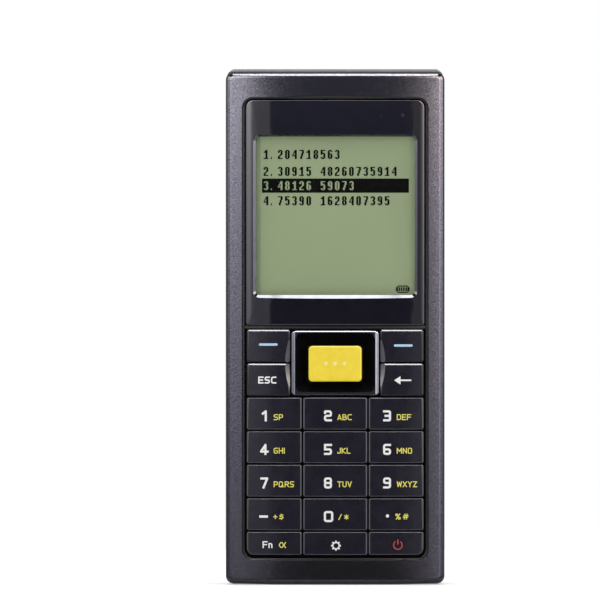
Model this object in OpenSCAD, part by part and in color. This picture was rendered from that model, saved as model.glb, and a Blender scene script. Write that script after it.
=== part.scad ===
// Handheld barcode data terminal: a crowned two-part housing with a graphic display, a 24-way keypad,
// a scan head at the top and a hinged battery cover on the back.
// The front faces -Y, +X is to the reader's right, +Z is up and the base stands on Z = 0.

/* [Body] */
// Width across the sides
body_w = 57.5; // [57:0.5:60]
// Height from the base to the top of the scan head
body_h = 135.6; // [135.2:0.2:139]
// Depth from the key faces to the back of the scan head
body_d = 30; // [29.6:0.1:31]
// Radius of the crown across the front face
crown_r = 190; // [170:5:260]
// Radius of the outline's corners
corner_r = 2; // [1.5:0.1:3]
// Rounding of the front housing's outer edge
edge_r = 1.4; // [0.8:0.1:1.6]
// How far the scan head reaches above the front housing
head_lip = 1; // [0.4:0.1:1.2]
// Depth of the battery bulge, measured back from the middle plane
back_y = 13.5; // [13.3:0.1:13.8]
// Depth of the finger scoop in the back
scoop_depth = 3.2; // [1:0.1:3.6]

/* [Display] */
// Height of the black display bezel
bezel_h = 59.1; // [58.6:0.1:59.4]
// Width of the visible window
window_w = 41.8; // [40:0.1:42.2]
// Height of the visible window
window_h = 41.6; // [40:0.1:42]
// Height of the window's lower edge above the bezel's lower edge
window_rise = 7.85; // [7.4:0.05:8.2]

/* [Keypad] */
// Height from the base to the keypad opening
keypad_z = 6.95; // [6.6:0.05:7.2]
// Row pitch of the number keys
key_pitch = 8.81; // [8.75:0.01:8.85]
// Gap between neighbouring keys
key_gap = 0.42; // [0.3:0.01:0.5]
// Width of the middle column of number keys
mid_key_w = 16.8; // [15:0.1:18]
// Bevel around each key face
key_bevel = 0.4; // [0.2:0.05:0.6]
// Width of the navigation ring
ring_w = 22.9; // [22:0.1:23.2]
// Width of the scan key
scan_w = 14; // [13:0.1:14.4]
// Height of the scan key
scan_h = 9.4; // [9:0.1:9.8]

/* [Battery cover] */
// Width of the battery cover
cover_w = 42; // [40:0.5:42]
// Height of the cover's hinge axis above the base
hinge_z = 57.6; // [57:0.1:57.8]
// Angle to which the cover swings open
cover_open = 100; // [92:1:110]
// Travel of the latch from open to locked
latch_travel = 3; // [2:0.1:3.2]

/* [Hidden] */
$fn = 48;

housing_color = [0.30, 0.30, 0.34];
rear_color = [0.16, 0.16, 0.18];
gloss_color = [0.09, 0.09, 0.11];
rubber_color = [0.12, 0.12, 0.13];
board_color = [0.10, 0.35, 0.20];
steel_color = [0.72, 0.72, 0.74];
gold_color = [0.85, 0.68, 0.30];

// Overlap of solids that are joined, and of cuts that meet
eps = 0.01;
half_w = body_w / 2;
front_top = body_h - head_lip;

// Layers through the depth, from the front to the back
key_apex = -body_d / 2;
housing_apex = key_apex + 0.4;
bezel_apex = housing_apex + 0.2;
window_y = [-12.8, -11.8];
key_seat = -11.2;
ceiling_y = -10;
mat_y = [-10, -9.2];
glass_y = [-11, -9];
board_y = [-7.5, -5.9];
split_y = -4;
seam = 0.15;

// Outline of the opening in the front housing
opening_w = 47.7;
wall = 2;
ledge_w = 0.55;
bezel_w = opening_w - 0.7;
key_left = -(opening_w / 2 - 0.65);
last_row_h = 6.05;
last_row_z = keypad_z + 0.95;
number_rows = 4;
number_z = last_row_z + last_row_h + key_gap;
upper_z = number_z + number_rows * key_pitch;
upper_h = 17.35;
upper_key_h = (upper_h - key_gap) / 2;
bridge_z = [upper_z + upper_h + 0.15, upper_z + upper_h + 1.05];
bezel_z = [bridge_z[1] + 0.25, bridge_z[1] + 0.25 + bezel_h];
opening_top = bezel_z[1] + 0.3;
window_z = [bezel_z[0] + window_rise, bezel_z[0] + window_rise + window_h];
nav_z = upper_z + upper_h / 2;
scan_z = nav_z - 0.2;
board_z = [8, opening_top - 1];
glass_z = [window_z[0] - 4, window_z[1] + 2.8];
board_screw_at = [
    for (x = [-16, 16]) [x, bridge_z[1] + 1.2],
    for (x = [-21.5, 21.5]) [x, opening_top - 3.4]
];

// Case screws: across, then low and high
screw_x = half_w - 6.2;
screw_z = [4.7, front_top - 4.6];
screw_r = 1;

// Battery bay and its cover
bay_w = 40.6;
bay_z = [9.5, hinge_z + 2.5];
bay_floor = 2;
bullnose_r = 1.6;
hinge_y = back_y - bullnose_r;
cover_bottom = 8.25;
cover_t = 1.8;
pivot_r = 0.8;

// Scan engine, its bracket and the buzzer
engine_y = [-2.2, 8.6];
engine_z = [body_h - 24, body_h - 11];
bracket_t = 0.8;
buzzer_at = [10, 103.4];

// Scan window in the top of the head
scan_pane_w = 26.4;
scan_pane_y = [-1, 8];
scan_pane_z = [body_h - 2.4, body_h - 0.9];

// ---------------------------------------------------------------- shapes used throughout

function arc(cx, cy, r, from, to, n) =
    [for (i = [0:n]) let (a = from + (to - from) * i / n) [cx + r * cos(a), cy + r * sin(a)]];

// Rounded rectangle over two spans; r lists the lower-left, lower-right, upper-right and upper-left radii
function rounded(x, z, r) = concat(
    arc(x[0] + r[0], z[0] + r[0], r[0], 180, 270, 5),
    arc(x[1] - r[1], z[0] + r[1], r[1], 270, 360, 5),
    arc(x[1] - r[2], z[1] - r[2], r[2], 0, 90, 5),
    arc(x[0] + r[3], z[1] - r[3], r[3], 90, 180, 5));

function inset_span(s, d) = [s[0] + d, s[1] - d];
function inset_radii(r, d) = [for (v = r) max(v - d, 0.15)];
function about(w) = [-w / 2, w / 2];
function even(r) = [r, r, r, r];
function even_pair(v) = [v, v];

// The base is bowed by this radius and cut flat in the middle, so that the terminal can stand on it
bow_r = 900;
bow_flat = 0.15;
function bow(x) = max(0, x * x / (2 * bow_r) - bow_flat);

// Outline of the whole body, with its bowed base
function body_outline(d, top) =
    let (w = half_w - d, r = max(corner_r - d, 0.3), side = w - r) concat(
        arc(-side, d + r + bow(side), r, 180, 270, 5),
        [for (i = [-3:3]) [side * i / 4, d + bow(side * i / 4)]],
        arc(side, d + r + bow(side), r, 270, 360, 5),
        arc(side, top - d - r, r, 0, 90, 5),
        arc(-side, top - d - r, r, 90, 180, 5));

// Prism along Y over [y0, y1] of an outline drawn in X and Z
module prism_y(outline, y) {
    translate([0, y[1], 0]) rotate([90, 0, 0]) linear_extrude(y[1] - y[0]) polygon(outline);
}

// Prism along X over [x0, x1] of a profile drawn in Y and Z
module prism_x(profile, x) {
    translate([x[0], 0, 0]) rotate([90, 0, 90]) linear_extrude(x[1] - x[0]) polygon(profile);
}

module block(x, y, z) {
    translate([x[0], y[0], z[0]]) cube([x[1] - x[0], y[1] - y[0], z[1] - z[0]]);
}

module plate(x, z, r, y) {
    prism_y(rounded(x, z, even(r)), y);
}

module rod_y(x, z, r, y) {
    translate([x, y[1], z]) rotate([90, 0, 0]) cylinder(r = r, h = y[1] - y[0]);
}

module rod_x(y, z, r, x) {
    translate([x[0], y, z]) rotate([0, 90, 0]) cylinder(r = r, h = x[1] - x[0]);
}

// Everything behind a crowned face
module behind_crown(apex) {
    translate([0, apex + crown_r, -10]) cylinder(r = crown_r, h = body_h + 20, $fn = 256);
}

// Solid with a crowned face whose edge is chamfered (steps = 1) or rounded (more steps)
module crowned(x, z, r, apex, back, edge, steps = 1) {
    hull() for (k = [0:steps]) {
        inset = edge * (1 - cos(90 * k / steps));
        sink = edge * (1 - sin(90 * k / steps));
        intersection() {
            prism_y(rounded(inset_span(x, inset), inset_span(z, inset), inset_radii(r, inset)),
                [apex - 1, back]);
            behind_crown(apex + sink);
        }
    }
}

// Solid through a stack of rings that all have the same number of points, each flat in Z
module loft(rings) {
    n = len(rings[0]);
    m = len(rings);
    polyhedron(
        points = [for (ring = rings) each ring],
        faces = concat(
            [[for (i = [0:n - 1]) i]],
            [for (j = [0:m - 2], i = [0:n - 1]) [j * n + i, (j + 1) * n + i, (j + 1) * n + (i + 1) % n]],
            [for (j = [0:m - 2], i = [0:n - 1]) [j * n + i, (j + 1) * n + (i + 1) % n, j * n + (i + 1) % n]],
            [[for (i = [n - 1:-1:0]) (m - 1) * n + i]]));
}

module at_case_screws() {
    for (x = [-screw_x, screw_x], z = screw_z) translate([x, 0, z]) children();
}

// ---------------------------------------------------------------- housing

module front_form() {
    hull() for (k = [0:3]) {
        inset = edge_r * (1 - cos(30 * k));
        sink = edge_r * (1 - sin(30 * k));
        intersection() {
            prism_y(body_outline(inset, front_top), [housing_apex - 1, split_y - seam]);
            behind_crown(housing_apex + sink);
        }
    }
}

arch_w = 36.8;
arch_rise = 0.9;
arch_r = (arch_w * arch_w / 4 + arch_rise * arch_rise) / (2 * arch_rise);

// Sunk ledge around the opening, with a shallow arch above the bezel and a lip below the keys
module opening_ledge() {
    y = [housing_apex - 1, ceiling_y];
    difference() {
        union() {
            prism_y(rounded(
                about(opening_w + 2 * ledge_w), [keypad_z - ledge_w / 2, opening_top + ledge_w / 2],
                [2.7, 2.7, 2.8, 2.8]), y);
            intersection() {
                block(about(arch_w), y, [opening_top - 2, opening_top + arch_rise]);
                rod_y(0, opening_top + arch_rise - arch_r, arch_r, y, $fn = 256);
            }
            plate(about(35.4), [keypad_z - 0.55, keypad_z + 2], 0.5, y);
        }
        behind_crown(housing_apex + 0.45);
    }
}

module front_housing() {
    bosses_y = [ceiling_y - eps, split_y - seam];
    color(housing_color) difference() {
        union() {
            difference() {
                front_form();
                prism_y(body_outline(wall, front_top), [ceiling_y, 0]);
                prism_y(rounded(about(opening_w), [keypad_z, bridge_z[0]], [2.4, 2.4, 0.5, 0.5]),
                    [housing_apex - 2, 0]);
                prism_y(rounded(about(opening_w), [bridge_z[1], opening_top], [0.5, 0.5, 2.5, 2.5]),
                    [housing_apex - 2, key_seat]);
                plate(about(opening_w - 3.9), inset_span(glass_z, -0.3), 1, [housing_apex, 0]);
                at_status_lights() rod_y(0, 0, 0.9, [-20, 0]);
                opening_ledge();
                // The bridge between the bezel and the keys lies lower than the crown
                difference() {
                    block(about(opening_w), [housing_apex - 1, ceiling_y],
                        [bridge_z[0] - 1, bridge_z[1] + 1]);
                    behind_crown(housing_apex + 0.8);
                }
            }
            at_case_screws() rod_y(0, 0, 2.6, bosses_y);
            for (p = board_screw_at) rod_y(p[0], p[1], 1.5, [ceiling_y - eps, board_y[0]]);
            // Ribs that tie the bosses to the end walls
            for (x = [-screw_x, screw_x]) {
                block([x - 0.5, x + 0.5], bosses_y, [1, screw_z[0]]);
                block([x - 0.5, x + 0.5], bosses_y, [screw_z[1], front_top - 1]);
            }
            for (x = [-12, 0, 12]) {
                block([x - 0.5, x + 0.5], [ceiling_y - eps, -7], [1, keypad_z - 2]);
                block([x - 0.5, x + 0.5], [ceiling_y - eps, -7], [opening_top + 1, front_top - 1]);
            }
        }
        at_case_screws() rod_y(0, 0, screw_r, [-9.2, 0]);
        for (p = board_screw_at) rod_y(p[0], p[1], 0.8, [board_y[0] - 2.2, 0]);
    }
}

// Half width, depth and corner radius of the back at a height, as [z, half width, rear y, radius]
function station(z, w, y, r) = [z, w, y, r];
function scooped(z) =
    let (t = (z - scoop_z[0]) / (scoop_z[1] - scoop_z[0]))
    back_y + (head_y - back_y) * t - scoop_depth * (1 - cos(360 * t)) / 2;
scoop_z = [hinge_z + 3.4, hinge_z + 37.4];
head_y = body_d / 2;
scoop_steps = 10;
stations = concat(
    [station(0, half_w - corner_r, 10, 5), station(0.6, half_w - 0.58 * corner_r, 11, 5.6),
     station(2, half_w, 11.9, 6.2), station(5, half_w, 12.9, 7), station(9, half_w, back_y - 0.25, 7.6),
     station(15, half_w, back_y, 8)],
    [for (i = [0:scoop_steps]) let (z = scoop_z[0] + (scoop_z[1] - scoop_z[0]) * i / scoop_steps)
        station(z, half_w, scooped(z), 8)],
    [station(body_h - 14, half_w, head_y, 8), station(body_h - 8, half_w, head_y - 0.5, 7.8),
     station(body_h - 3.6, half_w, head_y - 1.8, 7),
     station(body_h - 1.6, half_w - 0.35, head_y - 3.4, 6.4),
     station(body_h - 0.5, half_w - 1.1, head_y - 5, 5.6),
     station(body_h, half_w - corner_r, head_y - 6, 5)]);

function back_ring(s) = [for (p = concat(
    [[-s[1], split_y + seam], [s[1], split_y + seam]],
    arc(s[1] - s[3], s[2] - s[3], s[3], 0, 90, 6),
    arc(s[3] - s[1], s[2] - s[3], s[3], 90, 180, 6))) [p[0], p[1], s[0]]];

// Solid form of the back, from the parting plane to the rear skin
module rear_form() {
    loft([for (s = stations) back_ring(s)]);
}

// The same form a wall's thickness further in, whose front reaches past the parting plane and opens the shell
function cavity_ring(s) = [for (p = back_ring([s[0], s[1] - wall, s[2] - wall, s[3] - wall]))
    [p[0], p[1] < 0 ? p[1] - 1 : p[1], p[2]]];

module rear_cavity() {
    loft([for (s = stations) if (s[0] >= wall && s[0] <= body_h - 3.5) cavity_ring(s)]);
}

// Strap passage: a slot in the side and one in the back that meet behind a corner post
strap_x = half_w - 6.4;
strap_y = 4.2;
strap_z = [17.2, 22.4];
strap_gap = 2.6;

module strap_passage() {
    block([strap_x, half_w + 1], [strap_y, strap_y + strap_gap], strap_z);
    block([strap_x, strap_x + strap_gap], [strap_y, 20], strap_z);
}

// Groove above the cover, sloped so that the cover can swing fully open
module hinge_groove() {
    reach = 20 - hinge_y;
    top = hinge_z + bullnose_r + 0.2;
    slope = top + reach * tan(cover_open - 88);
    prism_x([[hinge_y, hinge_z - 1], [20, hinge_z - 1], [20, slope], [hinge_y, top]], about(cover_w + 0.5));
    rod_x(hinge_y, hinge_z, bullnose_r + 0.2, about(cover_w + 0.5));
}

// Channel for the latch's tongue: open to the back at the unlocked end, under a lip at the locked end
module tongue_channel() {
    z = [6, bay_z[0] + eps];
    block([-2.3, 2.3], [10.4, 20], z);
    block([-2.3, 2.3 + latch_travel], [10.4, 11.75], z);
}

// What stands inside the shell, before it is trimmed to the rear skin
module rear_inner_forms() {
    at_case_screws() rod_y(0, 0, 3.2, [split_y + seam, 20]);
    block(about(bay_w + 2.6), [bay_floor - 1.2, 12], [bay_z[0] - 1.3, bay_z[1] + 1.3]);
    // Cheeks that hold the hinge's pins
    for (side = [-1, 1]) {
        x = side * (cover_w / 2 + 1.2);
        block([x - 1.6, x + 1.6], [hinge_y - 2.4, 20], [hinge_z - 2.4, hinge_z + 2.4]);
    }
    block([-4, 7], [9.2, 20], [4.8, bay_z[0]]);
    block([strap_x - 1.2, half_w - 1], [strap_y - 1.2, 20], [strap_z[0] - 1.2, strap_z[1] + 1.2]);
    // Ribs behind the scan bracket and a ring round the buzzer
    for (x = [-8, 8])
        block([x - 0.8, x + 0.8], [engine_y[1] + bracket_t, 20], [engine_z[0] - 0.8, engine_z[1] - 3]);
    difference() {
        rod_y(buzzer_at[0], buzzer_at[1], 7, [10, 20]);
        rod_y(buzzer_at[0], buzzer_at[1], 6, [9, head_y - wall]);
    }
}

module rear_housing() {
    color(rear_color) difference() {
        union() {
            difference() {
                rear_form();
                rear_cavity();
            }
            intersection() {
                rear_inner_forms();
                rear_form();
            }
        }
        // Battery bay, the cover's seat and its hinge
        block(about(bay_w), [bay_floor, 20], [bay_z[0], hinge_z]);
        block(about(cover_w + 0.5), [back_y - cover_t - 0.15, 20], [cover_bottom - 0.25, hinge_z]);
        hinge_groove();
        rod_x(hinge_y, hinge_z, pivot_r + 0.05, about(cover_w + 2.6));
        tongue_channel();
        // Screw seats
        at_case_screws() rod_y(0, 0, screw_r + 0.15, [split_y - 1, 1]);
        at_case_screws() rod_y(0, 0, 2.2, [0, 20]);
        strap_passage();
        // Scan window, its pocket and the beam's way out
        block(about(scan_pane_w + 0.2), inset_span(scan_pane_y, -0.1), [scan_pane_z[0], body_h + 1]);
        block(about(scan_pane_w - 2), inset_span(scan_pane_y, 1), [body_h - 8, body_h + 1]);
        // Sound slots in front of the buzzer
        for (i = [-2:2])
            block(about(1) + even_pair(buzzer_at[0] + i * 2), [12, 20], about(8) + even_pair(buzzer_at[1]));
        // Dock contact window in the base
        block(about(18), [-1, 3], [-1, 4.5]);
    }
}

// Ring between the housings, whose bead shows above the front one
module housing_seal() {
    color(rubber_color) difference() {
        prism_y(body_outline(0.5, body_h), [split_y - seam, split_y + seam]);
        prism_y(body_outline(wall - 0.1, front_top), [split_y - 1, split_y + 1]);
    }
}

module case_screws() {
    color(steel_color) at_case_screws() difference() {
        union() {
            rod_y(0, 0, screw_r - 0.02, [-8.6, 1.0]);
            rod_y(0, 0, 1.9, [1.0, 2.3]);
        }
        block([-1.2, 1.2], [1.6, 3], [-0.25, 0.25]);
        block([-0.25, 0.25], [1.6, 3], [-1.2, 1.2]);
    }
}

// ---------------------------------------------------------------- display

module display_bezel() {
    slope = 2.6;
    color(gloss_color) difference() {
        crowned(about(bezel_w), bezel_z, [0.5, 0.5, 1.9, 1.9], bezel_apex, key_seat, 0.35);
        // Sloped recess down to the window
        hull() {
            prism_y(rounded(about(window_w), window_z, even(1.1)), [window_y[0] - eps, window_y[0]]);
            prism_y(rounded([-window_w / 2 - slope, window_w / 2 + slope],
                [window_z[0] - 1.05, window_z[1] + 0.6], even(1.6)), [bezel_apex - 1, bezel_apex]);
        }
        plate(about(window_w), window_z, 1.1, [window_y[0] - 1, 0]);
        plate(about(window_w + 2.8), inset_span(window_z, -1.4), 1.6, [window_y[0], 0]);
        at_status_lights() rod_y(0, 0, 0.9, [-20, 0]);
    }
}

module display_window() {
    color([0.75, 0.8, 0.8, 0.35]) plate(about(window_w + 2.6), inset_span(window_z, -1.3), 1.5, window_y);
}

module display_gasket() {
    color(rubber_color) difference() {
        plate(about(window_w + 1.6), inset_span(window_z, -1.2), 1.2, [window_y[1], glass_y[0]]);
        plate(about(window_w + 0.2), inset_span(window_z, -0.1), 0.8, [-20, 0]);
    }
}

module lcd_glass() {
    color([0.56, 0.62, 0.49]) block(about(43), glass_y, glass_z);
}

module lcd_backlight() {
    color([0.9, 0.9, 0.86]) block(about(43), [glass_y[1], board_y[0]], glass_z);
}

module lcd_frame() {
    color([0.85, 0.85, 0.83]) difference() {
        plate(about(46), inset_span(glass_z, -1.4), 0.8, [ceiling_y, board_y[0]]);
        block(about(43.2), [-20, 0], inset_span(glass_z, -0.1));
        // Way out for the ribbon
        block(about(17), [-20, 0], [glass_z[0] - 3, glass_z[0] + 1]);
    }
}

// Flexible ribbon from the glass's lower edge to the board
module lcd_ribbon() {
    t = 0.2;
    foot = glass_z[0] - 4.6;
    color([0.75, 0.45, 0.12]) prism_x([
        [-9.6, glass_z[0]], [-9.6, glass_z[0] - 1.2], [-9.2, glass_z[0] - 1.6],
        [board_y[0] - t, glass_z[0] - 1.9],
        [board_y[0] - t, foot], [board_y[0], foot], [board_y[0], glass_z[0] - 1.7], [-9.1, glass_z[0] - 1.4],
        [-9.4, glass_z[0] - 1.1], [-9.4, glass_z[0]]], about(15));
}

module at_status_lights() {
    for (x = [12, 17.7]) translate([x, 0, bezel_z[1] - 4]) children();
}

module status_lights() {
    color([0.2, 0.2, 0.22]) at_status_lights() rod_y(0, 0, 0.85, [bezel_apex + 0.95, board_y[0]]);
}

// ---------------------------------------------------------------- boards

module main_board() {
    color(board_color) difference() {
        plate(about(49.2), board_z, 1, board_y);
        for (p = board_screw_at) rod_y(p[0], p[1], 0.9, [-20, 0]);
    }
}

module board_components() {
    y = [board_y[1], board_y[1] + 1.4];
    color([0.15, 0.15, 0.16]) {
        block([-8, 8], y, [66, 80]);
        block([12, 22], y, [72, 80]);
        block([-21, -12], y, [60, 66]);
        block([-20, -8], y, [104, 110]);
        block([4, 9], [y[0], y[0] + 1], [86, 90]);
    }
}

module board_screws() {
    color(steel_color) for (p = board_screw_at) {
        rod_y(p[0], p[1], 0.78, [board_y[0] - 2, board_y[1]]);
        rod_y(p[0], p[1], 1.5, [board_y[1], board_y[1] + 1.1]);
    }
}

// ---------------------------------------------------------------- keypad

mid_edge = mid_key_w / 2;
ring_edge = ring_w / 2;
columns = [[key_left, -mid_edge - key_gap], [-mid_edge, mid_edge], [mid_edge + key_gap, -key_left]];

function number_row(i) =
    [number_z + (number_rows - 1 - i) * key_pitch, number_z + (number_rows - i) * key_pitch - key_gap];
last_row = [last_row_z, last_row_z + last_row_h];
esc_row = [upper_z, upper_z + upper_key_h];
soft_row = [upper_z + upper_key_h + key_gap, upper_z + upper_h];
left_span = [key_left, -ring_edge - key_gap];
right_span = [ring_edge + key_gap, -key_left];

// Each key as [node, span in x, span in z, corner radii]
sharp = even(0.5);
keys = concat(
    [["key_soft_left", left_span, soft_row, sharp], ["key_soft_right", right_span, soft_row, sharp],
     ["key_escape", left_span, esc_row, sharp], ["key_back", right_span, esc_row, sharp]],
    [for (i = [0:2], j = [0:2]) [str("key_", 3 * i + j + 1), columns[j], number_row(i), sharp]],
    [["key_minus", columns[0], number_row(3), sharp], ["key_0", columns[1], number_row(3), sharp],
     ["key_point", columns[2], number_row(3), sharp],
     ["key_fn", columns[0], last_row, [1.8, 0.5, 0.5, 0.5]], ["key_settings", columns[1], last_row, sharp],
     ["key_power", columns[2], last_row, [0.5, 1.8, 0.5, 0.5]]]);

thumb_r = 21.3;
thumb_reach = 13;

// Sloping crescent that clears the thumb beside the navigation ring
module thumb_crescent(side) {
    depth = 4;
    translate([side * (thumb_reach - thumb_r), key_apex - 1, nav_z]) rotate([-90, 0, 0])
        cylinder(r1 = thumb_r + 1.2, r2 = thumb_r - depth, h = depth + 1.2, $fn = 128);
}

module keycap(k) {
    color(gloss_color) difference() {
        crowned(k[1], k[2], k[3], key_apex, key_seat, key_bevel);
        if (k[2][0] >= upper_z) thumb_crescent(sign(k[1][0]));
    }
}

ring_r = 0.9;
dish_depth = 2.8;
scan_hole = [scan_w + 1.3, scan_h + 0.9];

module nav_ring() {
    z = [upper_z, upper_z + upper_h - 0.15];
    seat = key_seat - 0.25;
    color(gloss_color) difference() {
        crowned(about(ring_w), z, even(ring_r), key_apex, seat, 0.5);
        // Dish that falls from the rim to the scan key
        hull() {
            plate(about(ring_w - 1.6), inset_span(z, 0.8), 1.2, [key_apex - 1, key_apex]);
            plate(about(scan_hole[0] + 0.4), [scan_z - 5.3, scan_z + 5.3], 1.4,
                [key_apex + dish_depth, key_apex + dish_depth + 0.1]);
        }
        plate(about(scan_hole[0]), [scan_z - scan_hole[1] / 2, scan_z + scan_hole[1] / 2], 1.2, [-20, 0]);
        // Grooves that ride on the rocker's ridges
        translate([0, rocker_y[0], 0]) cylinder(r = 0.55, h = body_h);
    }
}

rocker_y = [-11, -10.2];

// Frame under the ring that rocks up and down, while the ring rocks left and right on its ridges
module nav_rocker() {
    color([0.8, 0.8, 0.78]) difference() {
        union() {
            plate(about(ring_w - 1.2), [nav_z - 8.1, nav_z + 8.1], 0.8, rocker_y);
            translate([0, rocker_y[0], nav_z - 8.1]) cylinder(r = 0.5, h = 16.2);
            rod_x(rocker_y[1], nav_z, 0.5, about(ring_w - 1.2));
        }
        plate(about(16), [nav_z - 6.2, nav_z + 6.2], 0.8, [-20, 0]);
    }
}

module scan_key() {
    color([0.93, 0.82, 0.22]) difference() {
        crowned(about(scan_w), [scan_z - scan_h / 2, scan_z + scan_h / 2], even(1),
            key_apex + 0.05, key_seat, 0.5);
        for (x = [-2.4, 0, 2.4]) rod_y(x, scan_z, 0.4, [-20, key_apex + 0.25]);
    }
}

function centre(s) = (s[0] + s[1]) / 2;

// Silicone sheet with a raised island under each key and a nib behind it
module keypad_mat() {
    island_y = [key_seat, mat_y[0]];
    nib_y = [mat_y[1], -8.4];
    color(rubber_color) difference() {
        union() {
            plate([-25.6, 25.6], [keypad_z - 1.6, bridge_z[0] + 0.3], 1, mat_y);
            for (k = keys) {
                block(inset_span(k[1], 0.5), island_y, inset_span(k[2], 0.5));
                rod_y(centre(k[1]), centre(k[2]), 1.6, nib_y);
            }
            block(about(scan_w - 1), island_y, [scan_z - scan_h / 2 + 0.5, scan_z + scan_h / 2 - 0.5]);
            rod_y(0, scan_z, 1.6, nib_y);
            for (p = [[-9.6, 0], [9.6, 0], [0, 7.2], [0, -7.2]]) rod_y(p[0], nav_z + p[1], 1, nib_y);
            // Pads under the rocker
            for (z = [-7.1, 7.1])
                block(about(20), [rocker_y[1], mat_y[0]], [nav_z + z - 0.8, nav_z + z + 0.8]);
        }
        rod_x(rocker_y[1], nav_z, 0.7, about(30));
        at_case_screws() rod_y(0, 0, 2.8, [-20, 0]);
    }
}

module dome_sheet() {
    y = [board_y[0] - 0.1, board_y[0]];
    centres = concat([for (k = keys) [centre(k[1]), centre(k[2])]],
        [[0, scan_z], [-9.6, nav_z], [9.6, nav_z], [0, nav_z + 7.2], [0, nav_z - 7.2]]);
    color(steel_color) union() {
        plate(about(47), [last_row_z + 0.6, upper_z + upper_h - 0.2], 0.5, y);
        for (p = centres) translate([p[0], y[0] + eps, p[1]]) rotate([90, 0, 0])
            cylinder(r1 = 2, r2 = 1.3, h = 0.25);
    }
}

// ---------------------------------------------------------------- scan head

module scan_window() {
    color([0.45, 0.05, 0.06, 0.6]) block(about(scan_pane_w), scan_pane_y, scan_pane_z);
}

module scan_engine() {
    color([0.2, 0.2, 0.22]) difference() {
        union() {
            block(about(21), engine_y, engine_z);
            translate([-4.5, 3.2, engine_z[1] - eps]) cylinder(r = 3.2, h = 1.6);
            block([2, 9], [0.6, 5.8], [engine_z[1] - eps, engine_z[1] + 0.8]);
        }
        translate([-4.5, 3.2, engine_z[1] - 2]) cylinder(r = 2.2, h = 5);
    }
}

// Steel cradle that carries the engine on the rear housing
module scan_bracket() {
    t = bracket_t;
    z = [engine_z[0] - t, engine_z[1] - 3];
    color(steel_color) difference() {
        block(about(21 + 2 * t), [engine_y[0], engine_y[1] + t], z);
        block(about(21), [-5, engine_y[1]], [engine_z[0], body_h]);
        for (x = [-7, 7]) translate([x, 3.2, 0]) cylinder(r = 1.1, h = body_h);
    }
}

module buzzer() {
    color(rubber_color) union() {
        rod_y(buzzer_at[0], buzzer_at[1], 5.95, [9.4, 12.4]);
        rod_y(buzzer_at[0], buzzer_at[1], 4.2, [12.3, head_y - wall]);
    }
}

module backup_cell() {
    color(steel_color) rod_y(-14, 92, 6.2, [board_y[1], board_y[1] + 2]);
}

// ---------------------------------------------------------------- battery and its cover

module battery_pack() {
    color([0.25, 0.27, 0.32]) difference() {
        plate(about(39.6), [10.6, hinge_z - 3.4], 1.2, [bay_floor, 10]);
        // Contact recesses in the lower end
        for (x = [-6, 0, 6]) block([x - 1.4, x + 1.4], [4.5, 7.5], [10, 11]);
    }
}

module battery_springs() {
    color(gold_color) for (x = [-6, 0, 6]) prism_x([
        [4.8, bay_z[0]], [7.2, bay_z[0]], [7.2, bay_z[0] + 0.3], [6.4, bay_z[0] + 1.4], [5.6, bay_z[0] + 1.4],
        [4.8, bay_z[0] + 0.3]], [x - 1, x + 1]);
}

button_w = 7;
button_z = [10.7, 13.8];

module battery_cover() {
    slot_x = [-button_w / 2 - 0.1, button_w / 2 + latch_travel + 0.1];
    color(rear_color) difference() {
        union() {
            intersection() {
                rear_form();
                prism_y(rounded(about(cover_w), [cover_bottom, hinge_z], [1.2, 1.2, 0.2, 0.2]),
                    [back_y - cover_t, 20]);
            }
            // Rounded upper edge, concentric with the hinge
            intersection() {
                rod_x(hinge_y, hinge_z, bullnose_r, about(cover_w - 0.2));
                block(about(60), [hinge_y, 20], [hinge_z - eps, 80]);
            }
            rod_x(hinge_y, hinge_z, pivot_r, about(cover_w + 2.2));
            for (x = [-18, 18]) rod_x(hinge_y, hinge_z, 1.4, [x - 1.2, x + 1.2]);
            // Stiffening ribs on the inside
            for (x = [-14, 14]) block([x - 0.5, x + 0.5], [back_y - cover_t - 1, back_y - 1], [18, 52]);
            for (z = [24, 46]) block(about(29), [back_y - cover_t - 0.8, back_y - 1], [z - 0.5, z + 0.5]);
        }
        prism_y(rounded(slot_x, inset_span(button_z, -0.1), even(0.3)), [0, 20]);
    }
}

module battery_latch() {
    flange_y = [back_y - cover_t - 1, back_y - cover_t - 0.1];
    color(housing_color) union() {
        block([-6, 6], flange_y, [9.8, 15]);
        block(about(button_w), [flange_y[0], back_y + 0.2], button_z);
        // Grip ribs
        for (i = [-2:2])
            block(about(0.5) + even_pair(i * 1.2), [back_y, back_y + 0.6], inset_span(button_z, 0.4));
        block([-2, 2], flange_y, [6.4, 10]);
    }
}

// ---------------------------------------------------------------- dock contacts in the base

module dock_block() {
    color(rubber_color) difference() {
        block(about(18), [-1, 3], [0.5, 4.5]);
        for (i = [-2:3]) block([i * 2.6 - 1.95, i * 2.6 - 0.65], [0, 2], [-1, 6]);
    }
}

module dock_contacts() {
    color(gold_color) for (i = [-2:3]) block([i * 2.6 - 1.9, i * 2.6 - 0.7], [0.05, 1.95], [0.3, 5]);
}

// ---------------------------------------------------------------- nodes

front_housing();
rear_housing();
housing_seal();
case_screws();
display_bezel();
display_window();
display_gasket();
lcd_glass();
lcd_backlight();
lcd_frame();
lcd_ribbon();
status_lights();
main_board();
board_components();
board_screws();
keypad_mat();
dome_sheet();
for (k = keys) keycap(k);
nav_ring();
nav_rocker();
scan_key();
scan_window();
scan_engine();
scan_bracket();
buzzer();
backup_cell();
battery_pack();
battery_springs();
battery_cover();
battery_latch();
dock_block();
dock_contacts();
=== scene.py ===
"""Looks of a handheld barcode data terminal: two-part housing, display, keys, navigation ring and scan key."""

import math

import bmesh
import bpy
from bpy.props import FloatProperty, FloatVectorProperty, PointerProperty
from mathutils import Matrix, Vector
from mathutils.geometry import delaunay_2d_cdt


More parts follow.
